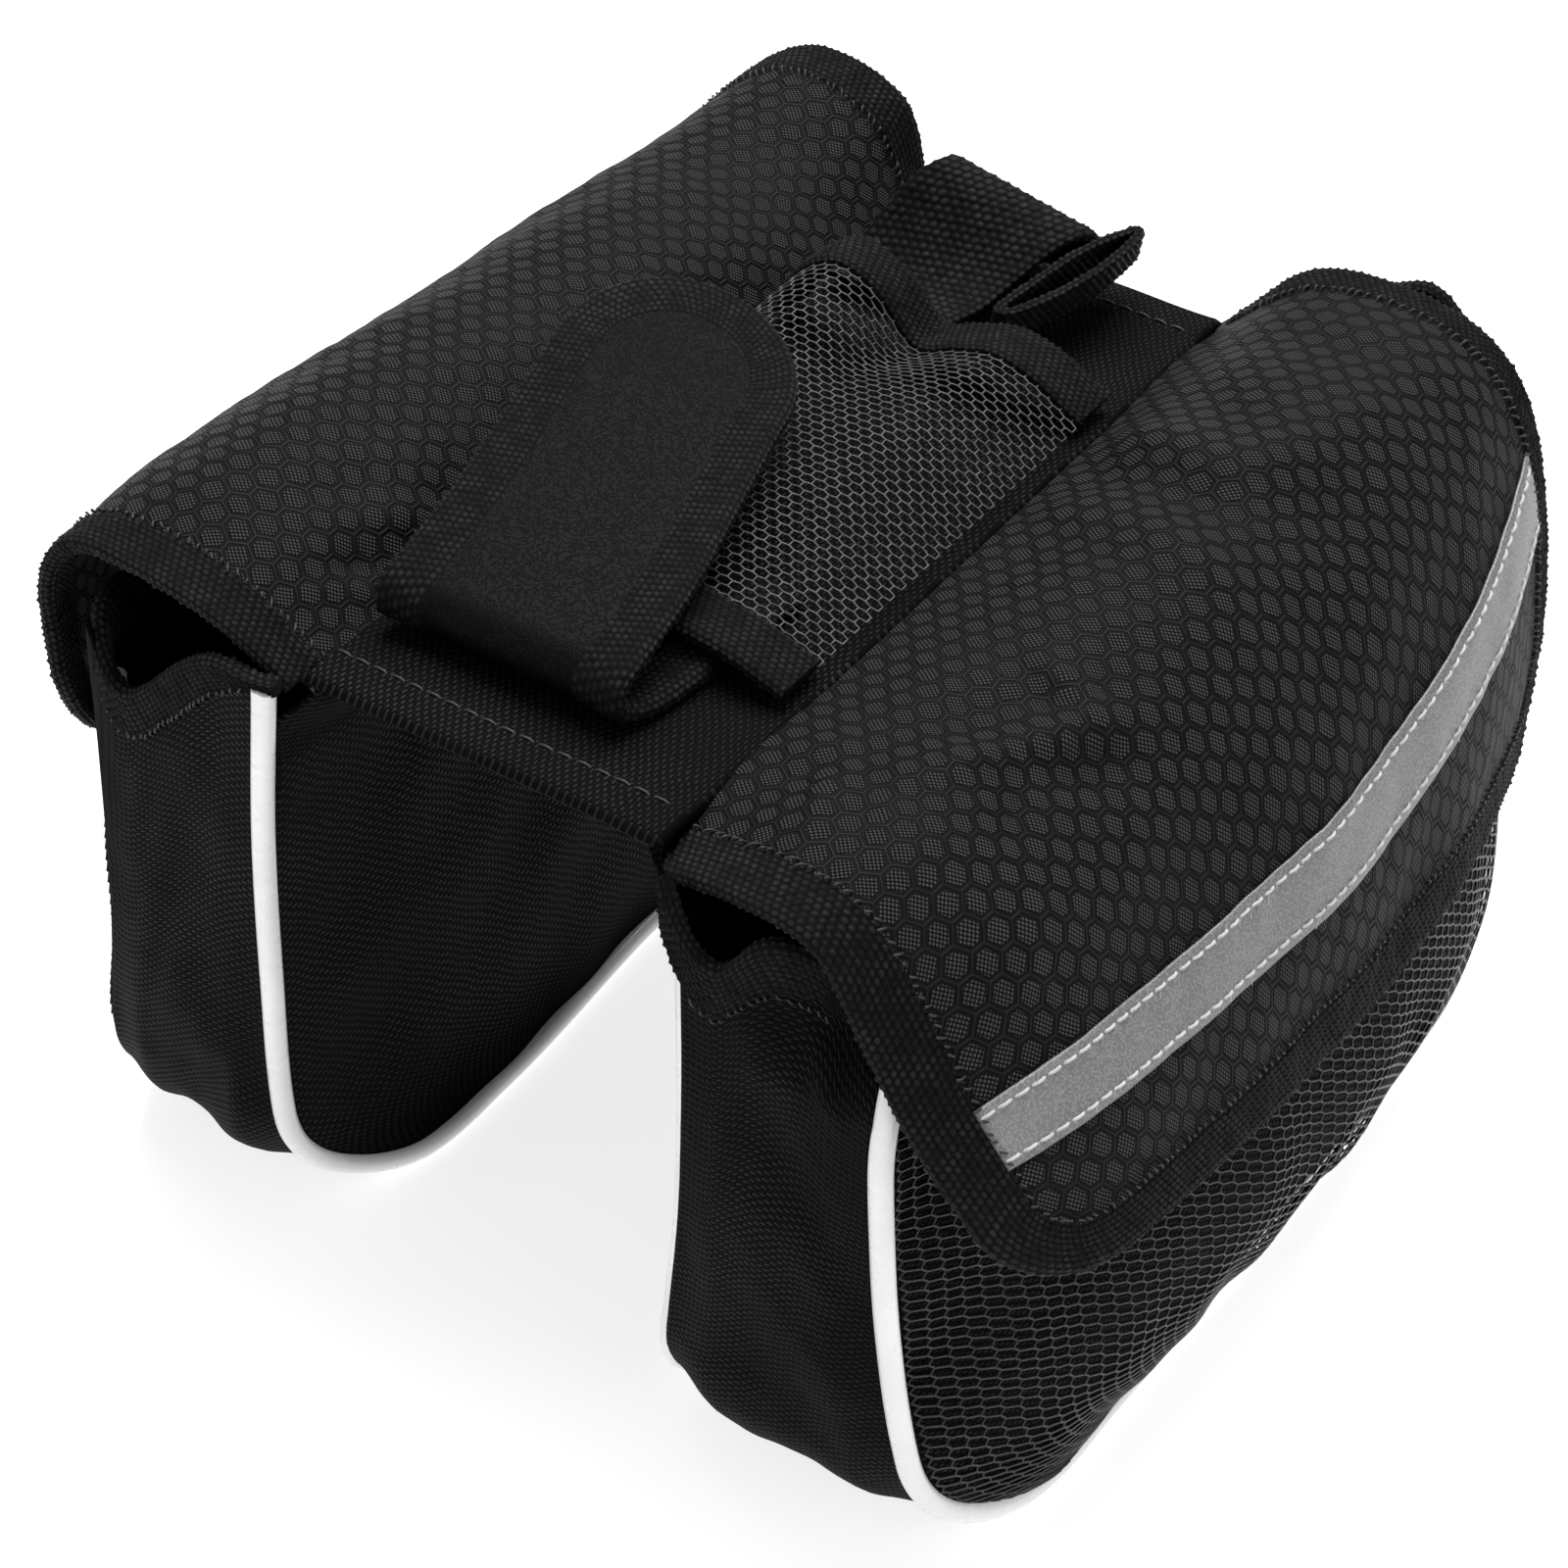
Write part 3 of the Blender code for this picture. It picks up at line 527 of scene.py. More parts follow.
def panel_points(side, k, u, across, near_top, far_top, bulge, stand_off):
    """Points of a panel: on the chord between the gusset's two walls, swollen to its middle."""
    near = outline(-k, near_top, panel_inset)
    far = outline(k, far_top, panel_inset)
    share = (u + 1) / 2
    reach = lerp(edge_reach(side, -k, across), edge_reach(side, k, across), share)
    level = (k - BOTTOM_END) / (1 - BOTTOM_END)
    ends = np.array((-BOTTOM_END, BOTTOM_END))
    low, high = edge_reach(side, ends, np.full(2, across))
    reach = reach + (edge_reach(side, u * BOTTOM_END, across) - lerp(low, high, share)) * (1 - level) ** 3
    full = table(FULLNESS, k)[:, 0] * np.maximum(1 - u * u, 0) ** 0.8 * bulge
    away = 1 if across > 0.5 else -1
    return np.stack((
        sign(side) * (reach + away * (full + stand_off)),
        lerp(near[0], far[0], share),
        lerp(near[1], far[1], share),
    ), axis=-1)


def net_lattice(width, length, cell_wide, cell_long, swing, slant=0):
    """Knots and strands of a net: wavy threads along its width, joined by rungs in turn."""
    columns = int(width / (cell_wide / 2)) + 1
    rows = int(length / cell_long) + 1
    i, j = np.meshgrid(np.arange(columns), np.arange(rows), indexing="ij")
    leaving = (i + j * (1 - slant)) % 2 == 0
    pull = np.where(leaving, 1, -1) * cell_long * swing
    knots = np.stack((i * cell_wide / 2, j * cell_long + pull), axis=-1)
    index = np.arange(columns * rows).reshape(columns, rows)
    threads = np.stack((index[:-1], index[1:]), axis=-1).reshape(-1, 2)
    rungs = np.stack((index[slant:, :-1], index[:columns - slant, 1:]), axis=-1)[leaving[slant:, :-1]]
    knots = knots.reshape(-1, 2)
    knots = knots * np.array((width, length)) / knots.max(axis=0).clip(1e-9)
    return knots, np.concatenate([threads, rungs])


def net_piece(name, points, normals, strands, radius, finish):
    """One mesh of short four-sided strands between knots."""
    a, b = points[strands[:, 0]], points[strands[:, 1]]
    way = unit(b - a)
    a, b = a - way * radius * 0.5, b + way * radius * 0.5
    corners = []
    for end, place in ((0, a), (1, b)):
        up = unit(normals[strands[:, end]])
        aside = unit(np.cross(way, up))
        for turn in (0.25, 0.75, 1.25, 1.75):
            corner = math.cos(turn * math.pi) * aside + math.sin(turn * math.pi) * up
            corners.append(place + corner * radius)
    points = np.stack(corners, axis=1).reshape(-1, 3)
    first = np.arange(len(strands))[:, None] * 8
    quads = np.concatenate([first + np.array((j, (j + 1) % 4, 4 + (j + 1) % 4, 4 + j)) for j in range(4)])
    return mesh_piece(name, points, quads, np.zeros((len(quads), 4, 2)), finish)


def net_finish(name, dark, light):
    """Smooth knitted yarn in random patches between a dark and a light grey; a lighter and a darker copy of
    it paint light and shade.
    """
    finish, tree, shader = new_finish(name, roughness=0.4, specular=0.3)
    worn = spread(tree, cloud(tree, 700.0, 3.0), 0.3, 0.7, 0.0, 1.0)
    tree.links.new(blend(tree, worn, (dark, dark, dark), (light, light, light)), shader.inputs["Base Color"])
    bump(tree, shader, cloud(tree, 2600.0, 2.0), 0.05 * MM, 0.5)
    return finish


# Painted shade: the front nets get a darker copy of the pocket's yarn, for the lesser light that falls on the
# pouches' sides.
front_netting = net_finish("netting_painted_shaded", 0.009, 0.024)

PANEL_ROWS = 49
PANEL_COLUMNS = 61
inner_panels, outer_panels, net_fronts = {}, {}, {}
for side in ("left", "right"):
    levels, columns = np.linspace(BOTTOM_END, 1, PANEL_ROWS), np.linspace(-1, 1, PANEL_COLUMNS)
    k, u = (g.ravel() for g in np.meshgrid(levels, columns, indexing="ij"))
    size = (PANEL_ROWS, PANEL_COLUMNS)
    places = np.stack((u * pouch_half_length, k * 150 * MM), axis=-1)
    near_top = rim_height(side, np.array((-1.0,)), np.ones(1))[0] - binding_width
    far_top = rim_height(side, np.array((1.0,)), np.ones(1))[0] - binding_width

    outer = panel_points(side, k, u, 1.0, near_top, far_top, panel_bulge, 0.0)
    outer[:, 0] += sign(side) * 0.4 * MM * swells(places[:, 0], places[:, 1], 24 * MM, 11) * (1 - u ** 8)
    outer, pattern = outer.reshape(*size, 3), places.reshape(*size, 2)
    outer_panels[side] = shell(f"{side}_outer_panel_cloth", outer, pattern, cloth_thick, black_cloth)
    settle(outer_panels[side], "black_cloth", f"{side}_outer_panel")

    knots, strands = net_lattice(96 * MM, 2 * pouch_half_length, net_cell_up, net_cell_along, 0.14, 1)
    knots = knots[:, ::-1]
    net_u = knots[:, 0] / pouch_half_length - 1
    net_k = BOTTOM_END + 0.01 + knots[:, 1] / (96 * MM) * (0.985 - BOTTOM_END)
    lift = cloth_thick / 2 + 0.15 * MM + 0.55 * MM * (1 - np.abs(net_u) ** 12)
    net = panel_points(side, net_k, net_u * 0.985, 1.0, near_top, far_top, net_bulge, lift)
    net[:, 0] += sign(side) * 0.5 * MM * swells(knots[:, 0], knots[:, 1], 20 * MM, 17)
    outward = np.tile((float(sign(side)), 0.0, 0.0), (len(net), 1))
    name = f"{side}_front_netting"
    net_fronts[side] = net_piece(name, net, outward, strands, net_strand / 2, front_netting)
    settle(net_fronts[side], "dark_net", f"{side}_net_front")

    top = bridge_height * inner_panel_turn
    inner = panel_points(side, k, u, 0.0, top, top, inner_bulge, 0.0).reshape(*size, 3)
    swell = 0.5 * MM * swells(places[:, 0], places[:, 1], 26 * MM, 13) * (1 - u ** 8)
    inner[..., 0] += sign(side) * swell.reshape(size)
    tuck = sign(side) * (seam - 0.9 * MM)
    ceiling = bridge_height - bridge_thick + 0.3 * MM
    extra = []
    late = 0.5 * np.abs(np.linspace(-1, 1, PANEL_COLUMNS)) ** 12
    for step in np.linspace(0, 1, 13)[1:]:
        turn = np.clip((step - late) / 0.5, 0, 1)
        turn = turn * turn * (3 - 2 * turn)
        last = inner[-1]
        tucked_y = bridge_middle + np.linspace(-1, 1, PANEL_COLUMNS) * (bridge_length / 2 - 0.4 * MM)
        extra.append(np.stack((
            lerp(last[:, 0], tuck, turn),
            lerp(last[:, 1], tucked_y, turn),
            lerp(last[:, 2], ceiling, step),
        ), axis=-1))
    inner = np.concatenate([inner, extra])
    rows = np.arange(len(inner))[:, None] * 1.65 * MM + np.zeros((1, PANEL_COLUMNS))
    columns = np.linspace(-1, 1, PANEL_COLUMNS)[None, :] * pouch_half_length + np.zeros((len(inner), 1))
    pattern = np.stack((columns, rows), axis=-1)
    inner_panels[side] = shell(f"{side}_inner_panel_cloth", inner, pattern, cloth_thick, black_cloth)
    settle(inner_panels[side], "black_cloth", f"{side}_inner_panel")

# Piping
# A cord in a glossy white jacket, sewn into the seams between the panels and the gusset. It runs
# from the mouth's near end round the bottom to the far end along all four corners.
PIPING_STATIONS = 240
mouth_binding_depth = 9.5 * MM

# Where the cloth rolls over the piping at the near end, and how deep the cord lies there.
PIPING_TUCK = {
    ("right", "inner"): 1.5 * MM,
    ("left", "outer"): 2.6 * MM,
}
# How much higher or lower than elsewhere the cord ends at the near mouth.
PIPING_TOP = {
    ("right", "outer"): 9.0 * MM,
    ("left", "outer"): -5.0 * MM,
    ("left", "inner"): 6.5 * MM,
}
# At this corner the mouth leans in under the flap, and the cord's top leans with it.
PIPING_LEAN = {("right", "outer"): 3.0 * MM}

white_piping, tree, shader = new_finish("white_piping", roughness=0.28, specular=0.5)
shader.inputs["Coat Weight"].default_value = 0.25
tint = spread(tree, cloud(tree, 60.0, 2.0), 0.35, 0.7, 0.0, 1.0)
tree.links.new(blend(tree, tint, (0.92, 0.92, 0.92), (0.85, 0.85, 0.845)), shader.inputs["Base Color"])
tree.links.new(spread(tree, cloud(tree, 200.0), 0.3, 0.7, 0.24, 0.36), shader.inputs["Roughness"])
bump(tree, shader, cloud(tree, 260.0, 2.0), 0.03 * MM, 0.2)


def round_cord(name, lines, radius, finish, shares=None):
    """Round cords along lines of points, as one curve object; shares scale the radius."""
    curve = bpy.data.curves.new(name, "CURVE")
    curve.dimensions = "3D"
    for line in lines:
        spline_piece = curve.splines.new("POLY")
        spline_piece.points.add(len(line) - 1)
        spline_piece.points.foreach_set("co", np.column_stack((line, np.ones(len(line)))).ravel())
        if shares is not None:
            spline_piece.points.foreach_set("radius", shares)
    curve.bevel_depth = radius
    curve.bevel_resolution = 3
    curve.use_fill_caps = True
    curve.materials.append(finish)
    piece = bpy.data.objects.new(name, curve)
    bpy.context.scene.collection.objects.link(piece)
    return piece


pipings = {}
for side in ("left", "right"):
    for edge, across in (("inner", 0.0), ("outer", 1.0)):
        s = np.linspace(-1, 1, PIPING_STATIONS)
        high = PIPING_TOP.get((side, edge), 0.0)
        top = rim_height(side, s, np.full(len(s), across)) - mouth_binding_depth + 1.8 * MM
        top = top + np.where(s < 0, high, 0.0)
        along, up, _, _ = outline(s, top)
        reach = edge_reach(side, s, np.full(len(s), across))
        tuck = np.clip((-s - 0.42) / 0.14, 0, 1) * PIPING_TUCK.get((side, edge), 0.0)
        reach = reach + (0.5 - across) * 1.2 * tuck
        end = np.clip((top + edge_lift - up) / (1.8 * MM), 0, 1)
        under = (1 - end) * (np.abs(s) > WALL_START)
        along = along + tuck - np.sign(s) * under * 0.6 * MM
        rise = np.clip((up - 76 * MM) / (14 * MM), 0, 1)
        along = along + np.where(s < 0, rise * rise, 0.0) * PIPING_LEAN.get((side, edge), 0.0)
        line = np.stack((sign(side) * reach, along, up), axis=-1)
        shares = 0.35 + 0.65 * np.where(np.abs(s) > WALL_START, end * (2 - end), 1.0)
        name = f"{side}_{edge}_piping_cord"
        pipings[side, edge] = round_cord(name, [line], piping_radius, white_piping, shares)
        settle(pipings[side, edge], "white_piping", f"{side}_{edge}_piping")

# Mouth bindings
# Coarse webbing, folded over the cloth's raw edge round each pouch's mouth and sewn through. Its
# weave stands out in rows of short grains.
webbing_thick = 2.6 * MM
webbing_edge_thick = 1.9 * MM
grain_along = 1.2 * MM
grain_across = 0.98 * MM
grain_relief = 0.44 * MM
SAMPLES = 3

# Webbing grains: the same rows of grains as in the mesh, for the painted light and shade on the grains and
# for fine filaments.
webbing_grains, entry, leave = new_group("webbing_grains", [("Filaments", 7.0)], ["Grain", "Filament"])
cell_a, cell_b = cloth_place(webbing_grains)
row_shift = calc(webbing_grains, "MODULO", calc(webbing_grains, "FLOOR", cell_b), 3.0)
row_shift = calc(webbing_grains, "DIVIDE", row_shift, 3.0)
crests = []
for cell in (calc(webbing_grains, "ADD", cell_a, row_shift), cell_b):
    wave = calc(webbing_grains, "SINE", calc(webbing_grains, "MULTIPLY", cell, math.pi))
    crests.append(calc(webbing_grains, "POWER", calc(webbing_grains, "ABSOLUTE", wave), 0.6))
grain = calc(webbing_grains, "MULTIPLY", *crests)
twist = calc(webbing_grains, "MULTIPLY", cell_b, entry.outputs["Filaments"])
twist = calc(webbing_grains, "ADD", twist, calc(webbing_grains, "MULTIPLY", cell_a, 1.5))
filament = calc(webbing_grains, "SINE", calc(webbing_grains, "MULTIPLY", twist, 2 * math.pi))
webbing_grains.links.new(grain, leave.inputs["Grain"])
webbing_grains.links.new(filament, leave.inputs["Filament"])

black_webbing, tree, shader = new_finish("black_webbing", specular=0.16)
grains = place_group(tree, webbing_grains, Filaments=6.0)
flecks = place_group(tree, lint, Amount=0.2)
# Painted light and painted shade: the grain crests take the yarn's colour and the gaps between grains are
# near black, for light on the crests and shade between them.
painted_grain_light = spread(tree, grains.outputs["Grain"], 0.45, 0.95, 0.0, 1.0)
uneven = spread(tree, cloud(tree, 350.0), 0.35, 0.7, 0.0, 1.0)
yarn = blend(tree, uneven, (0.0035, 0.0035, 0.0037), (0.024, 0.024, 0.0248))
yarn = blend(tree, painted_grain_light, (0.0004, 0.0004, 0.0005), yarn)
yarn = blend(tree, flecks.outputs["Mask"], yarn, (0.09, 0.09, 0.09))
tree.links.new(yarn, shader.inputs["Base Color"])
tree.links.new(spread(tree, grains.outputs["Grain"], 0.2, 0.9, 0.85, 0.5), shader.inputs["Roughness"])
ridges = calc(tree, "MULTIPLY", grains.outputs["Filament"], 0.28)
bump(tree, shader, calc(tree, "ADD", grains.outputs["Grain"], ridges), 0.26 * MM, 0.9)


def tape(
    name, rows, finish, thick=webbing_thick, edge_thick=webbing_edge_thick,
    grain=(grain_along, grain_across), relief=grain_relief, closed=False,
):
    """Woven webbing with a rounded section; rows hold its middle points from outer to inner edge."""
    if closed:
        rows = np.concatenate([rows[-2:], rows, rows[:3]])
    normals = facing(rows)
    if closed:
        rows, normals = rows[2:-2], normals[2:-2]
    width = np.linalg.norm(np.diff(rows, axis=1), axis=2).sum(axis=1).mean()
    middle = rows[:, rows.shape[1] // 2]
    run = np.concatenate([[0], np.cumsum(np.linalg.norm(np.diff(middle, axis=0), axis=1))])
    cells = max(int(round(run[-1] / grain[0])), 2)
    a = (np.arange(cells * SAMPLES) + 0.5) / SAMPLES
    place = np.interp(a / cells * run[-1], run, np.arange(len(run)))
    low = np.minimum(place.astype(int), len(rows) - 2)
    share = (place - low)[:, None, None]
    rows = lerp(rows[low], rows[low + 1], share)
    normals = unit(lerp(normals[low], normals[low + 1], share))

    turn = np.linspace(0, math.pi, 25)
    tip, end = thick / 2, edge_thick / 2
    far_side = width - end + end * np.sin(turn)
    depth = np.concatenate([far_side[12:], tip - tip * np.sin(turn), far_side[:13]])
    height = np.concatenate([-end * np.cos(turn[12:]), tip * np.cos(turn), -end * np.cos(turn[:13])])
    edge_run = np.concatenate([[0], np.cumsum(np.hypot(np.diff(depth), np.diff(height)))])
    around = 2 * max(int(round(edge_run[-1] / grain[1] / 2)), 2)
    b = (np.arange(around * SAMPLES) + 0.5) / SAMPLES
    at = b / around * edge_run[-1]
    d = np.interp(at, edge_run, depth)
    h = np.interp(at, edge_run, height)
    step = 0.3 * MM
    slope_d = np.interp(at + step, edge_run, depth) - np.interp(at - step, edge_run, depth)
    slope_h = np.interp(at + step, edge_run, height) - np.interp(at - step, edge_run, height)
    size = np.hypot(slope_d, slope_h)
    out_d, out_h = slope_h / size, -slope_d / size
    if (out_h * h).sum() < 0:
        out_d, out_h = -out_d, -out_h

    column = np.clip(d / width, 0, 1) * (rows.shape[1] - 1)
    left = np.minimum(column.astype(int), rows.shape[1] - 2)
    part = (column - left)[None, :, None]
    spot = lerp(rows[:, left], rows[:, left + 1], part)
    normal = unit(lerp(normals[:, left], normals[:, left + 1], part))
    inward = unit(rows[:, left + 1] - rows[:, left])
    shifted = a[:, None] + ((np.floor(b) % 3) / 3)[None, :]
    dice = np.random.default_rng(cells * around)
    uneven = dice.uniform(-1, 1, (cells, around, 2))[shifted.astype(int) % cells, b.astype(int)[None, :]]
    bumps = np.abs(np.sin(math.pi * shifted)) * np.abs(np.sin(math.pi * b))[None, :]
    lift = relief * (bumps * (1 + 0.35 * uneven[..., 0]) - 0.5)
    slide = 0.1 * MM * bumps * uneven[..., 1]
    points = spot + normal * (h[None, :] + lift * out_h[None, :])[..., None]
    points = points + inward * (lift * out_d[None, :] + slide)[..., None]

    rings, count = points.shape[:2]
    i, j = np.meshgrid(np.arange(rings if closed else rings - 1), np.arange(count), indexing="ij")
    after_i, after_j = (i + 1) % rings, (j + 1) % count
    corners = ((i, j), (i, after_j), (after_i, after_j), (after_i, j))
    quads = np.stack([ring * count + spoke for ring, spoke in corners], axis=-1).reshape(-1, 4)
    a_next = a[i] + 1 / SAMPLES
    b_next = b[j] + 1 / SAMPLES
    u = np.stack((a[i], a[i], a_next, a_next), axis=-1).reshape(-1, 4)
    v = np.stack((b[j], b_next, b_next, b[j]), axis=-1).reshape(-1, 4)
    if not closed:
        half = np.arange(count // 2 - 1)
        cap = np.stack((half, half + 1, count - 2 - half, count - 1 - half), axis=-1)
        quads = np.concatenate([quads, cap[:, ::-1], cap + (rings - 1) * count])
        u = np.concatenate([u, np.zeros((2 * len(cap), 4))])
        v = np.concatenate([v, np.tile((0.0, 0.3, 0.3, 0.0), (2 * len(cap), 1))])
    return mesh_piece(name, points.reshape(-1, 3), quads, np.stack((u, v), axis=-1) / 100, finish)


def smooth_rows(rows, passes):
    """Rounds the corners of a path without moving its ends."""
    for _ in range(passes):
        rows[1:-1] = (rows[:-2] + 2 * rows[1:-1] + rows[2:]) / 4
    return rows


def stitches(name, line, normals, length, space, radius, finish):
    """A row of stitches: short arched threads along a line on the cloth."""
    run = np.concatenate([[0], np.cumsum(np.linalg.norm(np.diff(line, axis=0), axis=1))])
    count = int(run[-1] / (length + space))
    share = np.linspace(0, 1, 6)
    lines = []
    for i in range(count):
        at = (i + 0.1) * (length + space) + share * length
        spot = np.stack([np.interp(at, run, line[:, axis]) for axis in range(3)], axis=-1)
        up = np.stack([np.interp(at, run, normals[:, axis]) for axis in range(3)], axis=-1)
        lift = radius * (1.5 * np.sin(math.pi * share) ** 0.5 - 0.7)
        lines.append(spot + up * lift[:, None])
    piece = round_cord(name, lines, radius, finish)
    piece.data.bevel_resolution = 1
    return piece


def edge_stitches(name, line, normals, aside, seed):
    """Slanting stitches that hold a webbing's edge to the cloth beside it, unevenly spaced."""
    dice = np.random.default_rng(seed)
    run = np.concatenate([[0], np.cumsum(np.linalg.norm(np.diff(line, axis=0), axis=1))])
    share = np.linspace(0, 1, 6)
    lines = []
    at = 0.5 * MM
    while at < run[-1] - 1.5 * MM:
        lean, from_edge, past_edge = dice.uniform((0.3, 0.4, 0.1), (1.1, 1.1, 0.5)) * MM
        place = at + share * lean
        across = lerp(-from_edge, past_edge, share)
        spot, up, way = (
            np.stack([np.interp(place, run, column) for column in rows.T], axis=-1)
            for rows in (line, normals, aside)
        )
        lift = 0.24 * MM * np.sin(math.pi * share) + 0.14 * MM - 0.75 * MM * share ** 2
        lines.append(spot + way * across[:, None] + up * lift[:, None])
        at += dice.uniform(1.1, 1.9) * MM
    piece = round_cord(name, lines, 0.17 * MM, dark_thread)
    piece.data.bevel_resolution = 1
    return piece


dark_thread, tree, shader = new_finish("dark_thread", roughness=0.5, sheen=0.05, specular=0.4)
twisted = blend(tree, cloud(tree, 1500.0), (0.006, 0.006, 0.0062), (0.022, 0.022, 0.0227))
tree.links.new(twisted, shader.inputs["Base Color"])

# How far the mouth's near inner end climbs towards the bridge's corner.
MOUTH_RISE = {"right": 7.5 * MM, "left": 0.5 * MM}
# Width of the near binding that shows below the flap, from the mouth's inner to its outer edge.
MOUTH_DEPTH = {
    # across  width
    "right": [(0.0, 9.2 * MM), (1.0, 9.2 * MM)],
    "left": [
        (0.0, 2.2 * MM),
        (0.1, 3.6 * MM),
        (0.25, 6.4 * MM),
        (0.45, 8.6 * MM),
        (0.7, 8.4 * MM),
        (1.0, 9.2 * MM),
    ],
}

mouth_bindings = {}
for side in ("left", "right"):
    across = np.linspace(0, 1, 60)
    near = gusset_points(side, np.full(60, -1.0), across, rim_height(side, np.full(60, -1.0), across))
    far = gusset_points(side, np.full(60, 1.0), across, rim_height(side, np.full(60, 1.0), across))
    near_top = rim_height(side, np.array((-1.0,)), np.ones(1))[0] - binding_width
    far_top = rim_height(side, np.array((1.0,)), np.ones(1))[0] - binding_width
    u = np.linspace(-0.97, 0.97, 150)
    edge = panel_points(side, np.ones(150), u, 1.0, near_top, far_top, panel_bulge, 0.0)
    edge = edge + np.array((0, 0, binding_width))
    lean = mouth_leaning(side, np.full(150, -1.0), 1.0, near_top + binding_width)
    edge[:, 1] += lean * np.clip((-0.82 - u) / 0.15, 0, 1)
    wrap = np.linspace(1, 0, 7)[:-1, None]
    near_wrap = near[0] + wrap * np.array((-sign(side) * 3.2 * MM, 0.8 * MM, MOUTH_RISE[side]))
    far_wrap = far[0] + wrap[::-1] * np.array((-sign(side) * 3.2 * MM, -0.8 * MM, 0.0))
    rim = smooth_rows(np.concatenate([near_wrap, near, edge, far[::-1], far_wrap]), 14)
    place, width = np.array(MOUTH_DEPTH[side]).T
    depth = np.full(len(rim), mouth_binding_depth - 0.35 * MM)
    depth[:6] = width[0]
    depth[6:66] = np.interp(across, place, width)
    drop = np.linspace(0, 1, 5)[None, :, None] * depth[:, None, None]
    rows = rim[:, None, :] - drop * np.array((0.0, 0.0, 1.0))
    mouth_bindings[side] = tape(f"{side}_mouth_webbing", rows, black_webbing)
    settle(mouth_bindings[side], "black_webbing", f"{side}_mouth_binding")
    out = facing(rows)[:, -1]
    out *= np.sign((out * (rows[:, -1] - rows[:, -1].mean(axis=0))).sum(axis=-1, keepdims=True))
    seam_line = rows[:, -1] + out * webbing_edge_thick / 2
    down = np.tile((0.0, 0.0, -1.0), (len(rows), 1))
    mouth_threads = edge_stitches(f"{side}_mouth_stitches", seam_line[9:-9], out[9:-9], down[9:-9], 50)
    settle(mouth_threads, "black_webbing")

# Flaps
# Each flap is a patterned cloth: small six-sided fields of dots, outlined by smooth floats. It is
# sewn to the bridge along its seam, lies over the pouch's mouth and creases where it bends.
flap_half_length = 81.5 * MM
flap_corner_radius = 16 * MM
flap_drop = 100 * MM
flap_length = 2 * flap_half_length * 0.97
flap_under_binding = 3 * MM

FLAP = {
    "right": [
        # seam   hem     reach, height
        (-0.930, -1.005, [
            (0.00, .958), (.18, .985), (.370, .978), (.490, .884), (.612, .781), (.757, .697), (.905, .605),
        ]),
        (-0.760, -0.790, [
            (0.00, .992), (.21, 1.020), (.41, 1.010), (.57, .925), (.70, .810), (.83, .695), (.94, .580),
        ]),
        (-0.430, -0.430, [
            (0.00, .992), (.21, 1.015), (.43, 1.005), (.62, .930), (.76, .810), (.88, .675), (.97, .530),
        ]),
        (0.000, 0.000, [
            (0.00, .992), (.22, 1.045), (.46, 1.050), (.67, .975), (.82, .845), (.93, .675), (.99, .490),
        ]),
        (0.430, 0.430, [
            (0.00, .992), (.22, 1.075), (.47, 1.090), (.69, 1.015), (.85, .865), (.945, .685), (.99, .490),
        ]),
        (0.790, 0.800, [
            (0.00, .992), (.21, 1.080), (.46, 1.100), (.68, 1.035), (.82, .880), (.89, .680), (.92, .470),
        ]),
        (0.965, 0.970, [
            (0.00, .970), (.17, 1.075), (.43, 1.085), (.65, 1.030), (.77, .880), (.84, .670), (.87, .460),
        ]),
    ],
    "left": [
        (-0.955, -0.965, [
            (0.00, .985), (.17, 1.038), (.37, 1.062), (.57, 1.055), (.665, .975), (.675, .850), (.675, .705),
        ]),
        (-0.745, -0.755, [
            (0.00, .992), (.17, 1.070), (.40, 1.106), (.63, 1.056), (.755, .930), (.79, .780), (.825, .605),
        ]),
        (-0.370, -0.370, [
            (0.00, .992), (.17, 1.080), (.40, 1.108), (.64, 1.048), (.795, .905), (.87, .745), (.93, .550),
        ]),
        (0.000, 0.000, [
            (0.00, .992), (.16, 1.080), (.40, 1.102), (.64, 1.042), (.81, .895), (.905, .730), (.96, .515),
        ]),
        (0.430, 0.430, [
            (0.00, .992), (.16, 1.078), (.39, 1.104), (.63, 1.042), (.815, .895), (.905, .720), (.955, .505),
        ]),
        (0.760, 0.770, [
            (0.00, .992), (.15, 1.085), (.37, 1.120), (.61, 1.046), (.775, .892), (.86, .720), (.915, .505),
        ]),
        (0.975, 0.980, [
            (0.015, .980), (.09, 1.125), (.34, 1.163), (.57, 1.066), (.71, .922), (.79, .770), (.85, .590),
        ]),
    ],
}

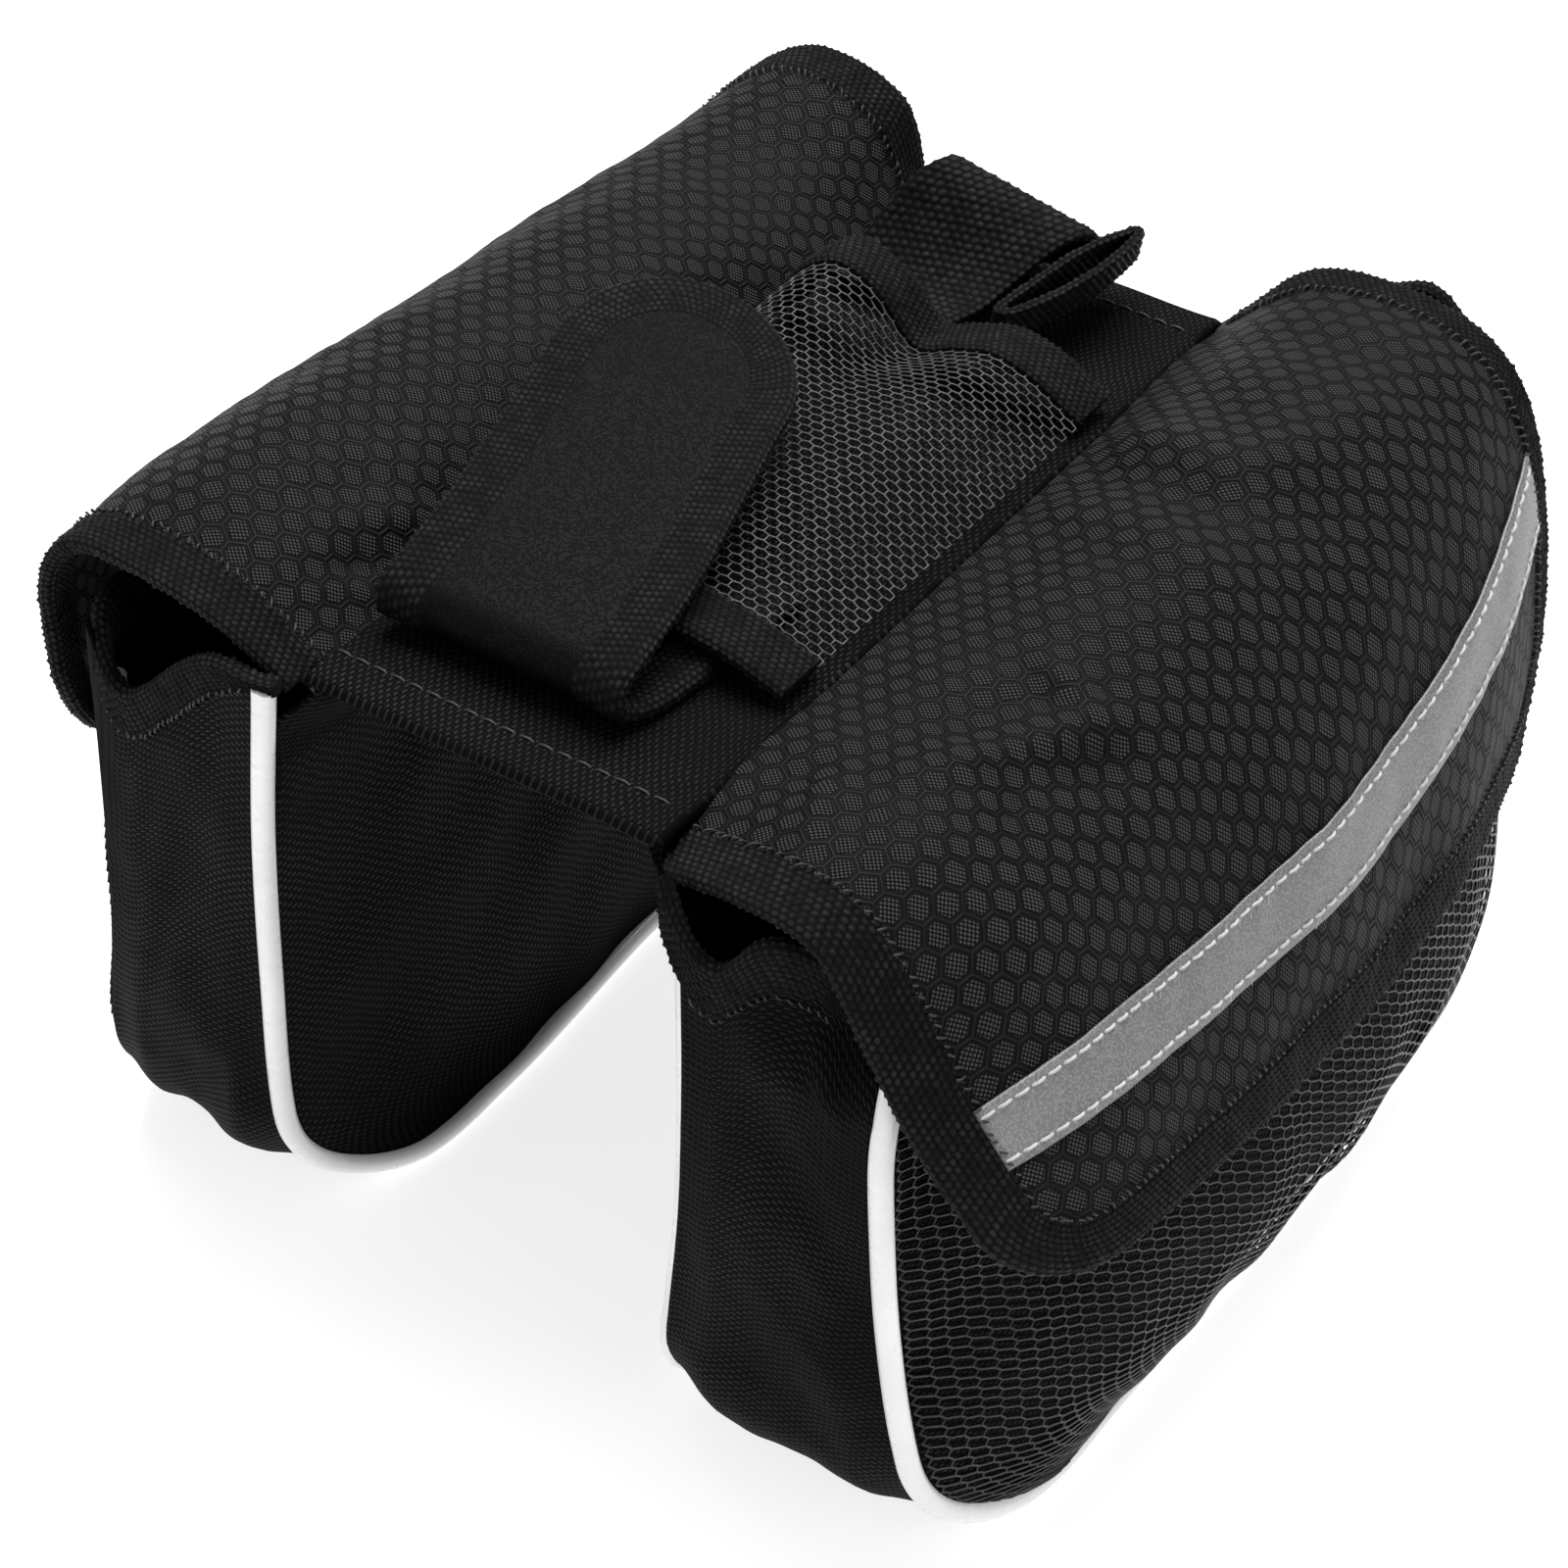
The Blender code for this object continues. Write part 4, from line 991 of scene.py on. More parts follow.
# Folds: millimetres along from the near edge and down from the seam, then width and height.
FLAP_FOLDS = {
    "right": [
        # along, down  along, down  width  height
        (29, 25, 38, 30, 3.0, 1.6),
        (38, 30, 57, 41, 3.0, 1.7),
        (36, 22, 52, 29, 4.5, -1.0),
        (38, 37, 56, 47, 4.5, -1.2),
        (35, 34, 28, 43, 3.2, -1.0),
        (56, 24, 52, 38, 1.7, 0.8),
        (52, 25, 48, 36, 1.7, -0.6),
        (31, 8, 32, 14, 3.0, -0.8),
        (14, 6, 40, 20, 4.0, -1.0),
        (22, 3, 34, 16, 3.0, 0.9),
        (8, 20, 24, 12, 2.0, 0.7),
        (12, 25, 27, 17, 2.2, -0.7),
        (66, 3, 92, 26, 6.0, -1.1),
        (108, 3, 101, 26, 4.5, 1.5),
        (101, 26, 114, 35, 4.5, 1.2),
        (114, 35, 132, 37, 4.5, 0.9),
        (97, 8, 92, 36, 6.0, -1.5),
        (94, 34, 110, 46, 5.5, -1.2),
        (90, 4, 79, 46, 5.0, 1.3),
        (122, 8, 112, 26, 5.0, -0.9),
        (138, 10, 134, 46, 5.0, -0.8),
        (8, 46, 40, 60, 8.0, 0.8),
        (60, 50, 100, 58, 8.0, -0.6),
    ],
    "left": [
        (12, 10, 22, 2, 1.8, 0.9),
        (17, 12, 27, 3, 1.8, -0.8),
        (8, 6, 22, 2, 1.5, 0.6),
        (24, 16, 36, 6, 3.0, 0.9),
        (16, 4, 34, 24, 4.0, -0.8),
        (40, 4, 60, 30, 7.0, -0.9),
        (84, 6, 110, 34, 8.0, 0.8),
        (118, 8, 128, 36, 6.0, -0.9),
        (20, 30, 60, 40, 8.0, 0.7),
        (30, 60, 70, 84, 9.0, -0.8),
        (90, 60, 130, 80, 9.0, 0.8),
    ],
}


def flap_points(side, along, down):
    """Points of the flap: along from its near (0) to its far edge (1), down from seam to hem."""
    rows = []
    for seam_place, hem_place, section in FLAP[side]:
        reach, height = spline(np.linspace(0, 1, len(section)), section, down).T
        place = lerp(seam_place, hem_place, np.clip(down, 0, 1) ** 0.7)
        rows.append(np.stack((place, reach, height), axis=-1))
    seams = [row[0] for row in FLAP[side]]
    place, reach, height = spline(seams, rows, lerp(seams[0], seams[-1], along)).T
    start = seam + 1.55 * MM
    points = np.stack((
        sign(side) * (start + pouch_depth * reach),
        flap_half_length * place,
        bridge_height * height,
    ), axis=-1)
    return points


def flap_surface(side, along, down):
    """The flap's points with its folds, and their normals, for grids of places."""
    step = 0.012

    def bent(a, d):
        flat = flap_points(side, a.ravel(), d.ravel()).reshape(*a.shape, 3)
        return flat

    over = bent(np.minimum(along + step, 1.0), down) - bent(np.maximum(along - step, 0.0), down)
    fall = bent(along, np.minimum(down + step, 1.0)) - bent(along, np.maximum(down - step, 0.0))
    normals = unit(np.cross(over, fall)) * -sign(side)
    places = along * flap_length, down * flap_drop
    held = 1 - np.abs(2 * along - 1) ** 6 * 0.7
    lift = folds(FLAP_FOLDS[side], *places) + 0.3 * MM * swells(*places, 24 * MM, 21)
    lift = lift + 0.1 * MM * swells(*places, 7 * MM, 23)
    lift = lift * held * np.clip(down / 0.08, 0, 1)
    return bent(along, down) + normals * lift[..., None], normals


def flap_half_width(from_hem, margin):
    """Half the flap's length at a distance from its hem, inside a margin, with round corners."""
    radius = flap_corner_radius - margin
    half = flap_length / 2 - margin
    below = np.maximum(radius - (from_hem - margin), 0)
    return half - radius + np.sqrt(np.maximum(radius ** 2 - below ** 2, 0))


patterned_cloth, tree, shader = new_finish("dotted_jacquard", specular=0.075)
along_mm, down_mm = cloth_place(tree)
wander = calc(tree, "MULTIPLY", calc(tree, "SUBTRACT", cloud(tree, 90.0, 2.0), 0.5), 1.2)
along_mm = calc(tree, "ADD", along_mm, wander)
field_x = calc(tree, "DIVIDE", along_mm, 3.05)
field_y = calc(tree, "DIVIDE", down_mm, 4.9)
edges = []
for shift_x, shift_y in ((0.0, 0.0), (1.0, 0.5)):
    x = calc(tree, "MULTIPLY", calc(tree, "ADD", field_x, shift_x), 0.5)
    x = calc(tree, "MULTIPLY", calc(tree, "PINGPONG", x, 0.5), 2.0)
    y = calc(tree, "PINGPONG", calc(tree, "ADD", field_y, shift_y), 0.5)
    slant = calc(tree, "DIVIDE", calc(tree, "ADD", x, calc(tree, "MULTIPLY", y, 0.88)), 0.72)
    edges.append(calc(tree, "MAXIMUM", calc(tree, "MULTIPLY", y, 2.0), slant))
edge = calc(tree, "MINIMUM", *edges)
inside = spread(tree, edge, 0.69, 0.77, 1.0, 0.0)
dot_a = calc(tree, "DIVIDE", along_mm, 0.62)
dot_b = calc(tree, "DIVIDE", down_mm, 0.9)
dots = calc(tree, "ABSOLUTE", calc(tree, "MULTIPLY",
            calc(tree, "SINE", calc(tree, "MULTIPLY", calc(tree, "ADD", dot_a, dot_b), math.pi)),
            calc(tree, "SINE", calc(tree, "MULTIPLY", calc(tree, "SUBTRACT", dot_a, dot_b), math.pi))))
line = spread(tree, edge, 0.88, 0.97, 0.0, 1.0)
raised = calc(tree, "MULTIPLY", inside, calc(tree, "ADD", dots, 0.35))
height = calc(tree, "ADD", raised, calc(tree, "MULTIPLY", line, 0.8))
flecks = place_group(tree, lint, Amount=0.15)
worn = spread(tree, cloud(tree, 40.0, 4.0), 0.35, 0.7, 0.0, 1.0)
yarn = blend(tree, worn, (0.0018, 0.0018, 0.0020), (0.0036, 0.0036, 0.0038))
# A raised float down the middle of each band, coloured lighter than the band: partly the weave's float,
# partly painted highlight on its ridge.
floats_with_painted_light = blend(tree, line, yarn, (0.0080, 0.0080, 0.0083))
# The dots are the cloth's real pattern, coloured bright with near black between: painted glints on the dots
# and painted shade around them.
shown = spread(tree, dots, 0.25, 0.7, 0.0, 1.0)
dotted = blend(tree, shown, (0.0008, 0.0008, 0.0009), (0.050, 0.050, 0.0515))
woven = blend(tree, inside, floats_with_painted_light, dotted)
tree.links.new(blend(tree, flecks.outputs["Mask"], woven, (0.10, 0.10, 0.105)), shader.inputs["Base Color"])
tree.links.new(spread(tree, height, 0.1, 0.9, 0.7, 0.46), shader.inputs["Roughness"])
bump(tree, shader, height, 0.24 * MM, 0.9)

FLAP_ROWS = 74
FLAP_COLUMNS = 113
flaps = {}
for side in ("left", "right"):
    radius = flap_corner_radius - flap_under_binding
    arc = flap_under_binding + radius * (1 - np.cos(np.linspace(0, math.pi / 2, 12)))
    from_hem = np.concatenate([arc, np.linspace(arc[-1], flap_drop, FLAP_ROWS - 11)[1:]])
    half = flap_half_width(from_hem, flap_under_binding)
    along = 0.5 + np.linspace(-1, 1, FLAP_COLUMNS)[None, :] * half[:, None] / flap_length
    down = np.repeat(1 - from_hem[:, None] / flap_drop, FLAP_COLUMNS, axis=1)
    grid, _ = flap_surface(side, along, down)
    tucked = grid[-1:].copy()
    tucked[..., 0] = sign(side) * (seam - 0.3 * MM)
    tucked[..., 2] -= 0.9 * MM
    grid = np.concatenate([grid, tucked])
    places = np.stack((along * flap_length, down * flap_drop), axis=-1)
    places = np.concatenate([places, places[-1:] - np.array((0, 1.5 * MM))])
    flaps[side] = shell(f"{side}_flap_cloth", grid, places, cloth_thick, patterned_cloth)
    settle(flaps[side], "patterned_cloth", f"{side}_flap")

# Flap bindings
# The same webbing, folded over the flap's near edge, its hem and its far edge, round both corners.
flap_bindings, flap_threads = {}, {}
for side in ("left", "right"):
    half = flap_length / 2
    straight = np.linspace(flap_drop, flap_corner_radius, 70)
    turn = np.linspace(0, math.pi / 2, 22)[1:-1]
    hem = np.linspace(-half + flap_corner_radius, half - flap_corner_radius, 110)
    c, s = np.cos(turn), np.sin(turn)
    from_end, from_hem = flap_corner_radius * (1 - c), flap_corner_radius * (1 - s)
    place = [np.full(70, -half), -half + from_end, hem, half - from_end[::-1], np.full(70, half)]
    drop = [straight, from_hem, np.zeros(110), from_hem[::-1], straight[::-1]]
    place, drop = np.concatenate(place), np.concatenate(drop)
    out = np.concatenate([np.full(70, -1.0), -c, np.zeros(110), c[::-1], np.full(70, 1.0)])
    fall = np.concatenate([np.zeros(70), -s, np.full(110, -1.0), -s[::-1], np.zeros(70)])
    depth = np.linspace(0, binding_width - 0.35 * MM, 5)
    along = 0.5 + (place[:, None] - out[:, None] * depth[None, :]) / flap_length
    down = 1 - (drop[:, None] - fall[:, None] * depth[None, :]) / flap_drop
    rows, _ = flap_surface(side, along, down)
    flap_bindings[side] = tape(f"{side}_flap_webbing", rows, black_webbing)
    settle(flap_bindings[side], "black_webbing", f"{side}_flap_binding")
    along = 0.5 + (place - out * binding_width) / flap_length
    down = 1 - (drop - fall * binding_width) / flap_drop
    spots, normals = flap_surface(side, along[:, None], down[:, None])
    spots = spots[:, 0] + normals[:, 0] * webbing_edge_thick / 2
    beside = along[:, None] - out[:, None] * 0.006, down[:, None] + fall[:, None] * -0.01
    further, _ = flap_surface(side, *beside)
    aside = unit(further[:, 0] + normals[:, 0] * webbing_edge_thick / 2 - spots)
    flap_threads[side] = edge_stitches(f"{side}_flap_stitches", spots, normals[:, 0], aside, 60)
    settle(flap_threads[side], "black_webbing")

# Reflective strips
# A grey tape full of tiny glass beads, sewn along the middle of the flap with two rows of pale,
# fuzzy thread.
strip_width = 10 * MM
strip_thick = 0.6 * MM

STRIP_LINE = [
    # along  down
    (0.00, 0.730),
    (0.25, 0.745),
    (0.50, 0.760),
    (0.75, 0.720),
    (1.00, 0.640),
]

grey_reflective, tree, shader = new_finish("grey_reflective_tape", roughness=0.42, specular=0.5)
beads = tree.nodes.new("ShaderNodeTexVoronoi")
beads.inputs["Scale"].default_value = 2600.0
coordinates = tree.nodes.new("ShaderNodeTexCoord")
tree.links.new(coordinates.outputs["Object"], beads.inputs["Vector"])
speckle = spread(tree, beads.outputs["Distance"], 0.1, 0.7, 1.0, 0.0)
tree.links.new(blend(tree, speckle, (0.14, 0.14, 0.143), (0.24, 0.24, 0.245)), shader.inputs["Base Color"])
shader.inputs["Metallic"].default_value = 0.25
bump(tree, shader, speckle, 0.06 * MM, 0.5)

pale_thread, tree, shader = new_finish("pale_thread", roughness=0.7, sheen=0.1)
twisted = blend(tree, cloud(tree, 1500.0), (0.34, 0.34, 0.34), (0.62, 0.62, 0.62))
tree.links.new(twisted, shader.inputs["Base Color"])


def fuzz(name, line, normals, count, seed, finish):
    """Short loose fibres that stick out of a row of stitches."""
    dice = np.random.default_rng(seed)
    lines = []
    for i in dice.integers(2, len(line) - 2, count):
        way = unit(line[i + 1] - line[i - 1])
        aside = np.cross(normals[i], way)
        start = lerp(line[i], line[i + 1], dice.uniform())
        turn = dice.uniform(-1, 1, 3)
        bend = way * turn[0] + aside * turn[1] * 0.9 + normals[i] * 0.25
        curl = way * turn[2] * 0.5 + aside * turn[0] * 0.4
        reach = dice.uniform(0.5, 1.3) * MM
        share = np.linspace(0, 1, 4)[:, None]
        lines.append(start + normals[i] * 0.15 * MM + reach * (bend * share + curl * share * share))
    piece = round_cord(name, lines, 0.035 * MM, finish)
    piece.data.bevel_resolution = 0
    return piece


STRIP_COLUMNS = 150
strips, strip_threads = {}, {}
for side in ("left", "right"):
    ends = (binding_width - 0.6 * MM) / flap_length
    along = np.linspace(ends, 1 - ends, STRIP_COLUMNS)
    middle = table(STRIP_LINE, along)[:, 0]
    shift = np.linspace(-0.5, 0.5, 9)
    along_grid = np.repeat(along[:, None], 9, axis=1)
    down = middle[:, None] + shift[None, :] * strip_width / flap_drop
    surface, normals = flap_surface(side, along_grid, down)
    off = cloth_thick / 2 + strip_thick / 2
    grid = surface + normals * (off - 0.05 * MM)
    places = np.stack((along_grid * flap_length, down * flap_drop), axis=-1)
    strips[side] = shell(f"{side}_reflective_tape", grid, places, strip_thick, grey_reflective)
    settle(strips[side], "grey_reflective", f"{side}_reflective_strip")
    rows = []
    for name, column in (("upper", 1), ("lower", 7)):
        line = grid[:, column] + normals[:, column] * strip_thick / 2
        up = normals[:, column]
        title = f"{side}_{name}_strip_stitches"
        thread = stitches(title, line, up, 2.0 * MM, 0.7 * MM, 0.24 * MM, pale_thread)
        settle(thread, "grey_reflective")
        hairs = fuzz(f"{side}_{name}_strip_fuzz", line, normals[:, column], 110, 40 + column, pale_thread)
        settle(hairs, "grey_reflective")
        rows += [thread, hairs]
    strip_threads[side] = rows

# Bridge
# The panel of plain cloth over the top tube. Its near and far ends are turned over and stitched.
bridge_half_width = 28.0 * MM
hem_depth = 7 * MM
hem_step = 0.35 * MM
BRIDGE_ROWS = 101
BRIDGE_COLUMNS = 41

near_edge = bridge_middle - bridge_length / 2
y = near_edge + np.linspace(0, 1, BRIDGE_ROWS) * bridge_length
x = np.linspace(-1, 1, BRIDGE_COLUMNS) * bridge_half_width
y, x = np.meshgrid(y, x, indexing="ij")
from_end = np.minimum(y - near_edge, near_edge + bridge_length - y)
swell = 0.3 * MM * swells(y, x, 30 * MM, 31) * (1 - (x / bridge_half_width) ** 4)
height = bridge_height - bridge_thick / 2 + swell
height += hem_step * np.clip((hem_depth - from_end) / (0.8 * MM), 0, 1)
grid = np.stack((x, y, height), axis=-1)
bridge = shell("bridge_cloth", grid, np.stack((y, x), axis=-1), bridge_thick, black_cloth)
settle(bridge, "black_cloth", "bridge")
for name, row in (("near", 4), ("far", BRIDGE_ROWS - 5)):
    line = grid[row] + np.array((0, 0, bridge_thick / 2))
    up = np.tile((0.0, 0.0, 1.0), (BRIDGE_COLUMNS, 1))
    thread = stitches(f"bridge_{name}_hem_stitches", line, up, 2.2 * MM, 0.8 * MM, 0.2 * MM, dark_thread)
    settle(thread, "black_cloth")

# Net pocket
# A knitted net of small six-sided cells that arches over the bridge, sewn into both seams, with
# webbing folded over its near and far edge. Things slide in from either end.
pocket_near = -46 * MM
pocket_far = 39 * MM
pocket_rise = 13 * MM
pocket_binding_width = 9 * MM
pocket_strand = 0.29 * MM
pocket_cell_across = 2.35 * MM
pocket_cell_along = 1.4 * MM
POCKET_ACROSS = (-0.98, -0.90, -0.62, -0.33, -0.05, 0.20, 0.44, 0.63, 0.98)
POCKET = [
    # along  heights from the left seam to the right seam
    (0.00, [.03, .23, .36, .40, .38, .34, .30, .25, .03]),
    (0.15, [.03, .23, .38, .46, .44, .40, .34, .27, .03]),
    (0.42, [.03, .30, .56, .64, .60, .56, .50, .36, .03]),
    (0.67, [.03, .36, .76, .78, .62, .62, .60, .44, .03]),
    (0.90, [.04, .40, .96, .82, .26, .42, .54, .44, .04]),
    (1.00, [.03, .34, .90, .68, .20, .36, .48, .40, .03]),
]


def pocket_points(along, across):
    """Points of the net pocket: along from its near (0) to its far edge (1)."""
    heights = table([(row[0], *row[1]) for row in POCKET], along)
    up = spline(POCKET_ACROSS, heights.T[..., None], across)[:, 0]
    base = bridge_height + 0.35 * MM + 1.2 * MM
    place = lerp(pocket_near, pocket_far, along)
    return np.stack((across * (seam - 0.35 * MM), place, base + pocket_rise * up), axis=-1)


# Painted light: the pocket net gets a lighter copy of the same yarn, for the overhead light that falls on top
# of it.
pocket_netting = net_finish("netting_painted_lit", 0.030, 0.085)
pocket_length = pocket_far - pocket_near
edge = (pocket_binding_width - 0.8 * MM) / pocket_length
net_length = pocket_length * (1 - 2 * edge)
knots, strands = net_lattice(62 * MM, net_length, pocket_cell_across, pocket_cell_along, 0.09)
across = (knots[:, 0] / (62 * MM) * 2 - 1) * 0.98
along = edge + knots[:, 1] / pocket_length
points = pocket_points(along, across)
step = 0.01
over = pocket_points(along, np.minimum(across + step, 0.98))
over = over - pocket_points(along, np.maximum(across - step, -0.98))
ahead = pocket_points(np.minimum(along + step, 1), across)
ahead = ahead - pocket_points(np.maximum(along - step, 0), across)
outward = unit(np.cross(over, ahead))
pocket_net = net_piece("pocket_netting", points, outward, strands, pocket_strand / 2, pocket_netting)
settle(pocket_net, "dark_net", "pocket_net")
binding_share = pocket_binding_width / pocket_length
for name, first, last in (("near", 0.0, binding_share), ("far", 1.0, 1 - binding_share)):
    across, along = np.meshgrid(np.linspace(-0.98, 0.98, 90), np.linspace(first, last, 5), indexing="ij")
    rows = pocket_points(along.ravel(), across.ravel()).reshape(90, 5, 3)
    webbing = tape(f"pocket_{name}_webbing", rows, black_webbing)
    settle(webbing, "black_webbing", f"pocket_{name}_binding")

# Tongue
# A strip of soft imitation leather, bound all round with webbing. It runs out under the net
# pocket, folds over and lies back on top of it.
tongue_width = 40 * MM
tongue_thick = 1.4 * MM
tongue_binding_width = 8 * MM
TONGUE = [
    # sideways  along   up
    (-0.14, -0.33, 0.10),
    (-0.18, -0.52, 0.10),
    (-0.24, -0.72, 0.11),
    (-0.32, -0.80, 0.19),
    (-0.35, -0.815, 0.36),
    (-0.36, -0.79, 0.53),
    (-0.37, -0.73, 0.62),
    (-0.47, -0.55, 0.765),
    (-0.66, -0.34, 0.89),
    (-0.87, -0.12, 1.03),
    (-1.02, 0.04, 1.08),
    (-1.18, 0.20, 1.17),
]


def bridge_line(rows, half_width, at):
    """A line over the bridge, read at shares of its length."""
    sideways, along, up = spline(np.linspace(0, 1, len(rows)), rows, at).T
    return np.stack((
        sideways * half_width,
        bridge_middle + along * bridge_length / 2,
        bridge_height + 0.35 * MM + up * pocket_rise,
    ), axis=-1)


half = tongue_width / 2
stations = np.linspace(0, 1, 400)
line = bridge_line(TONGUE, half, stations)
run = np.concatenate([[0], np.cumsum(np.linalg.norm(np.diff(line, axis=0), axis=1))])
whole = run[-1]
fold_share = 4 / (len(TONGUE) - 1)


def tongue_points(distance, offset):
    at = np.interp(distance, run, stations)
    lean = np.clip((at - fold_share) / (1 - fold_share), 0, 1) * math.radians(-2.5)
    aside = np.stack((np.cos(lean), np.sin(lean), np.zeros_like(lean)), axis=-1)
    return bridge_line(TONGUE, half, at.ravel()).reshape(*at.shape, 3) + offset[..., None] * aside


soft_leather, tree, shader = new_finish("imitation_leather", specular=0.04)
worms = cloud(tree, 1150.0, 2.0)
furrow = calc(tree, "ABSOLUTE", calc(tree, "SUBTRACT", worms, 0.5))
pores = calc(tree, "MULTIPLY", cloud(tree, 2600.0, 3.0), 0.6)
crinkle = calc(tree, "ADD", spread(tree, furrow, 0.0, 0.07, 0.0, 1.0), pores)
# Painted shade: the furrows of the crinkle are coloured darker than the leather between them.
shown = spread(tree, furrow, 0.0, 0.06, 0.0, 1.0)
surface = blend(tree, shown, (0.0014, 0.0014, 0.0015), (0.0030, 0.0030, 0.0032))
tree.links.new(surface, shader.inputs["Base Color"])
tree.links.new(spread(tree, crinkle, 0.3, 1.2, 0.58, 0.44), shader.inputs["Roughness"])
bump(tree, shader, crinkle, 0.09 * MM, 0.55)

inner = half - tongue_binding_width + 3 * MM
round_start = whole - half
straight = np.linspace(0, round_start, 130)
turn = np.linspace(0, math.pi / 2, 26)[1:-1]
distance = np.concatenate([straight, round_start + inner * np.sin(turn)])
width = np.concatenate([np.full(130, inner), inner * np.cos(turn)])
u = np.linspace(-1, 1, 31)
offset = width[:, None] * u[None, :]
distance = np.repeat(distance[:, None], 31, axis=1)
grid = tongue_points(distance, offset)
tongue = shell("tongue_leather", grid, np.stack((distance, offset), axis=-1), tongue_thick, soft_leather)
settle(tongue, "tongue_leather", "tongue_panel")

turn = np.linspace(-math.pi / 2, math.pi / 2, 60)[1:-1]
depth = np.linspace(0, tongue_binding_width, 5)
distance, offset = [], []
for d in straight:
    distance.append(np.full(5, d))
    offset.append(-half + depth)
for t in turn:
    distance.append(round_start + (half - depth) * math.cos(t))
    offset.append((half - depth) * math.sin(t))
for d in straight[::-1]:
    distance.append(np.full(5, d))
    offset.append(half - depth)
rows = tongue_points(np.array(distance), np.array(offset))
tongue_tape = tape("tongue_webbing", rows, black_webbing)
settle(tongue_tape, "black_webbing", "tongue_binding")

# Strap and loop
# A wide strap of very coarse webbing lies folded across the far end of the bridge. A ribbon of
# webbing stands on edge beside it, bent round into a closed loop.
strap_width = 25 * MM
strap_thick = 2 * MM
loop_width = 9 * MM
loop_thick = 1.4 * MM
STRAP = [
    # sideways  along  up
    (-0.55, 0.62, 0.08),
    (-0.47, 0.70, 0.16),
    (-0.40, 0.775, 0.42),
    (-0.28, 0.85, 0.80),
    (-0.18, 0.905, 0.93),
    (-0.14, 0.945, 0.78),
    (-0.12, 0.963, 0.42),
    (-0.12, 0.965, 0.04),
]
# How the strap lies from side to side: its direction at the same places.
STRAP_ASIDE = [
    (0.99, -0.08, -0.02),
    (0.99, -0.08, -0.06),
    (0.97, -0.04, -0.16),
    (0.95, 0.04, -0.25),
    (0.95, 0.08, -0.27),
    (0.96, 0.08, -0.24),
    (0.97, 0.06, -0.15),
    (0.99, 0.03, -0.02),
]
LOOP = [
    # sideways  along   up
    (0.156, 0.662, 0.34),
    (0.207, 0.744, 0.42),
    (0.273, 0.823, 0.53),
    (0.373, 0.899, 0.65),
    (0.530, 0.964, 0.76),
    (0.522, 0.877, 0.65),
    (0.455, 0.796, 0.53),
    (0.360, 0.721, 0.42),
    (0.244, 0.648, 0.34),
    (0.167, 0.630, 0.33),
]

at = np.linspace(0, 1, 80)
middle = bridge_line(STRAP, seam, at) + np.array((0, 0, strap_thick / 2))
aside = unit(spline(np.linspace(0, 1, len(STRAP)), STRAP_ASIDE, at))
offset = np.linspace(-0.5, 0.5, 7) * strap_width
rows = middle[:, None, :] + aside[:, None, :] * offset[None, :, None]
strap_grain = (1.5 * MM, 1.35 * MM)
strap = tape("rear_strap_webbing", rows, black_webbing, strap_thick, strap_thick, strap_grain, 0.4 * MM)
settle(strap, "black_webbing", "rear_strap")

closed = LOOP + LOOP[:2]
count = 120
lean = np.array((0.30, -0.45, 0.84))
at = (0.5 + np.arange(count) * len(LOOP) / count) / (len(closed) - 1)
middle = bridge_line(closed, seam, at) + lean * 0.35 * MM
offset = np.linspace(-0.5, 0.5, 5) * loop_width
rows = middle[:, None, :] + lean[None, None, :] * offset[None, :, None]
loop = tape("rear_loop_webbing", rows, black_webbing, loop_thick, loop_thick, closed=True)
settle(loop, "black_webbing", "rear_loop")

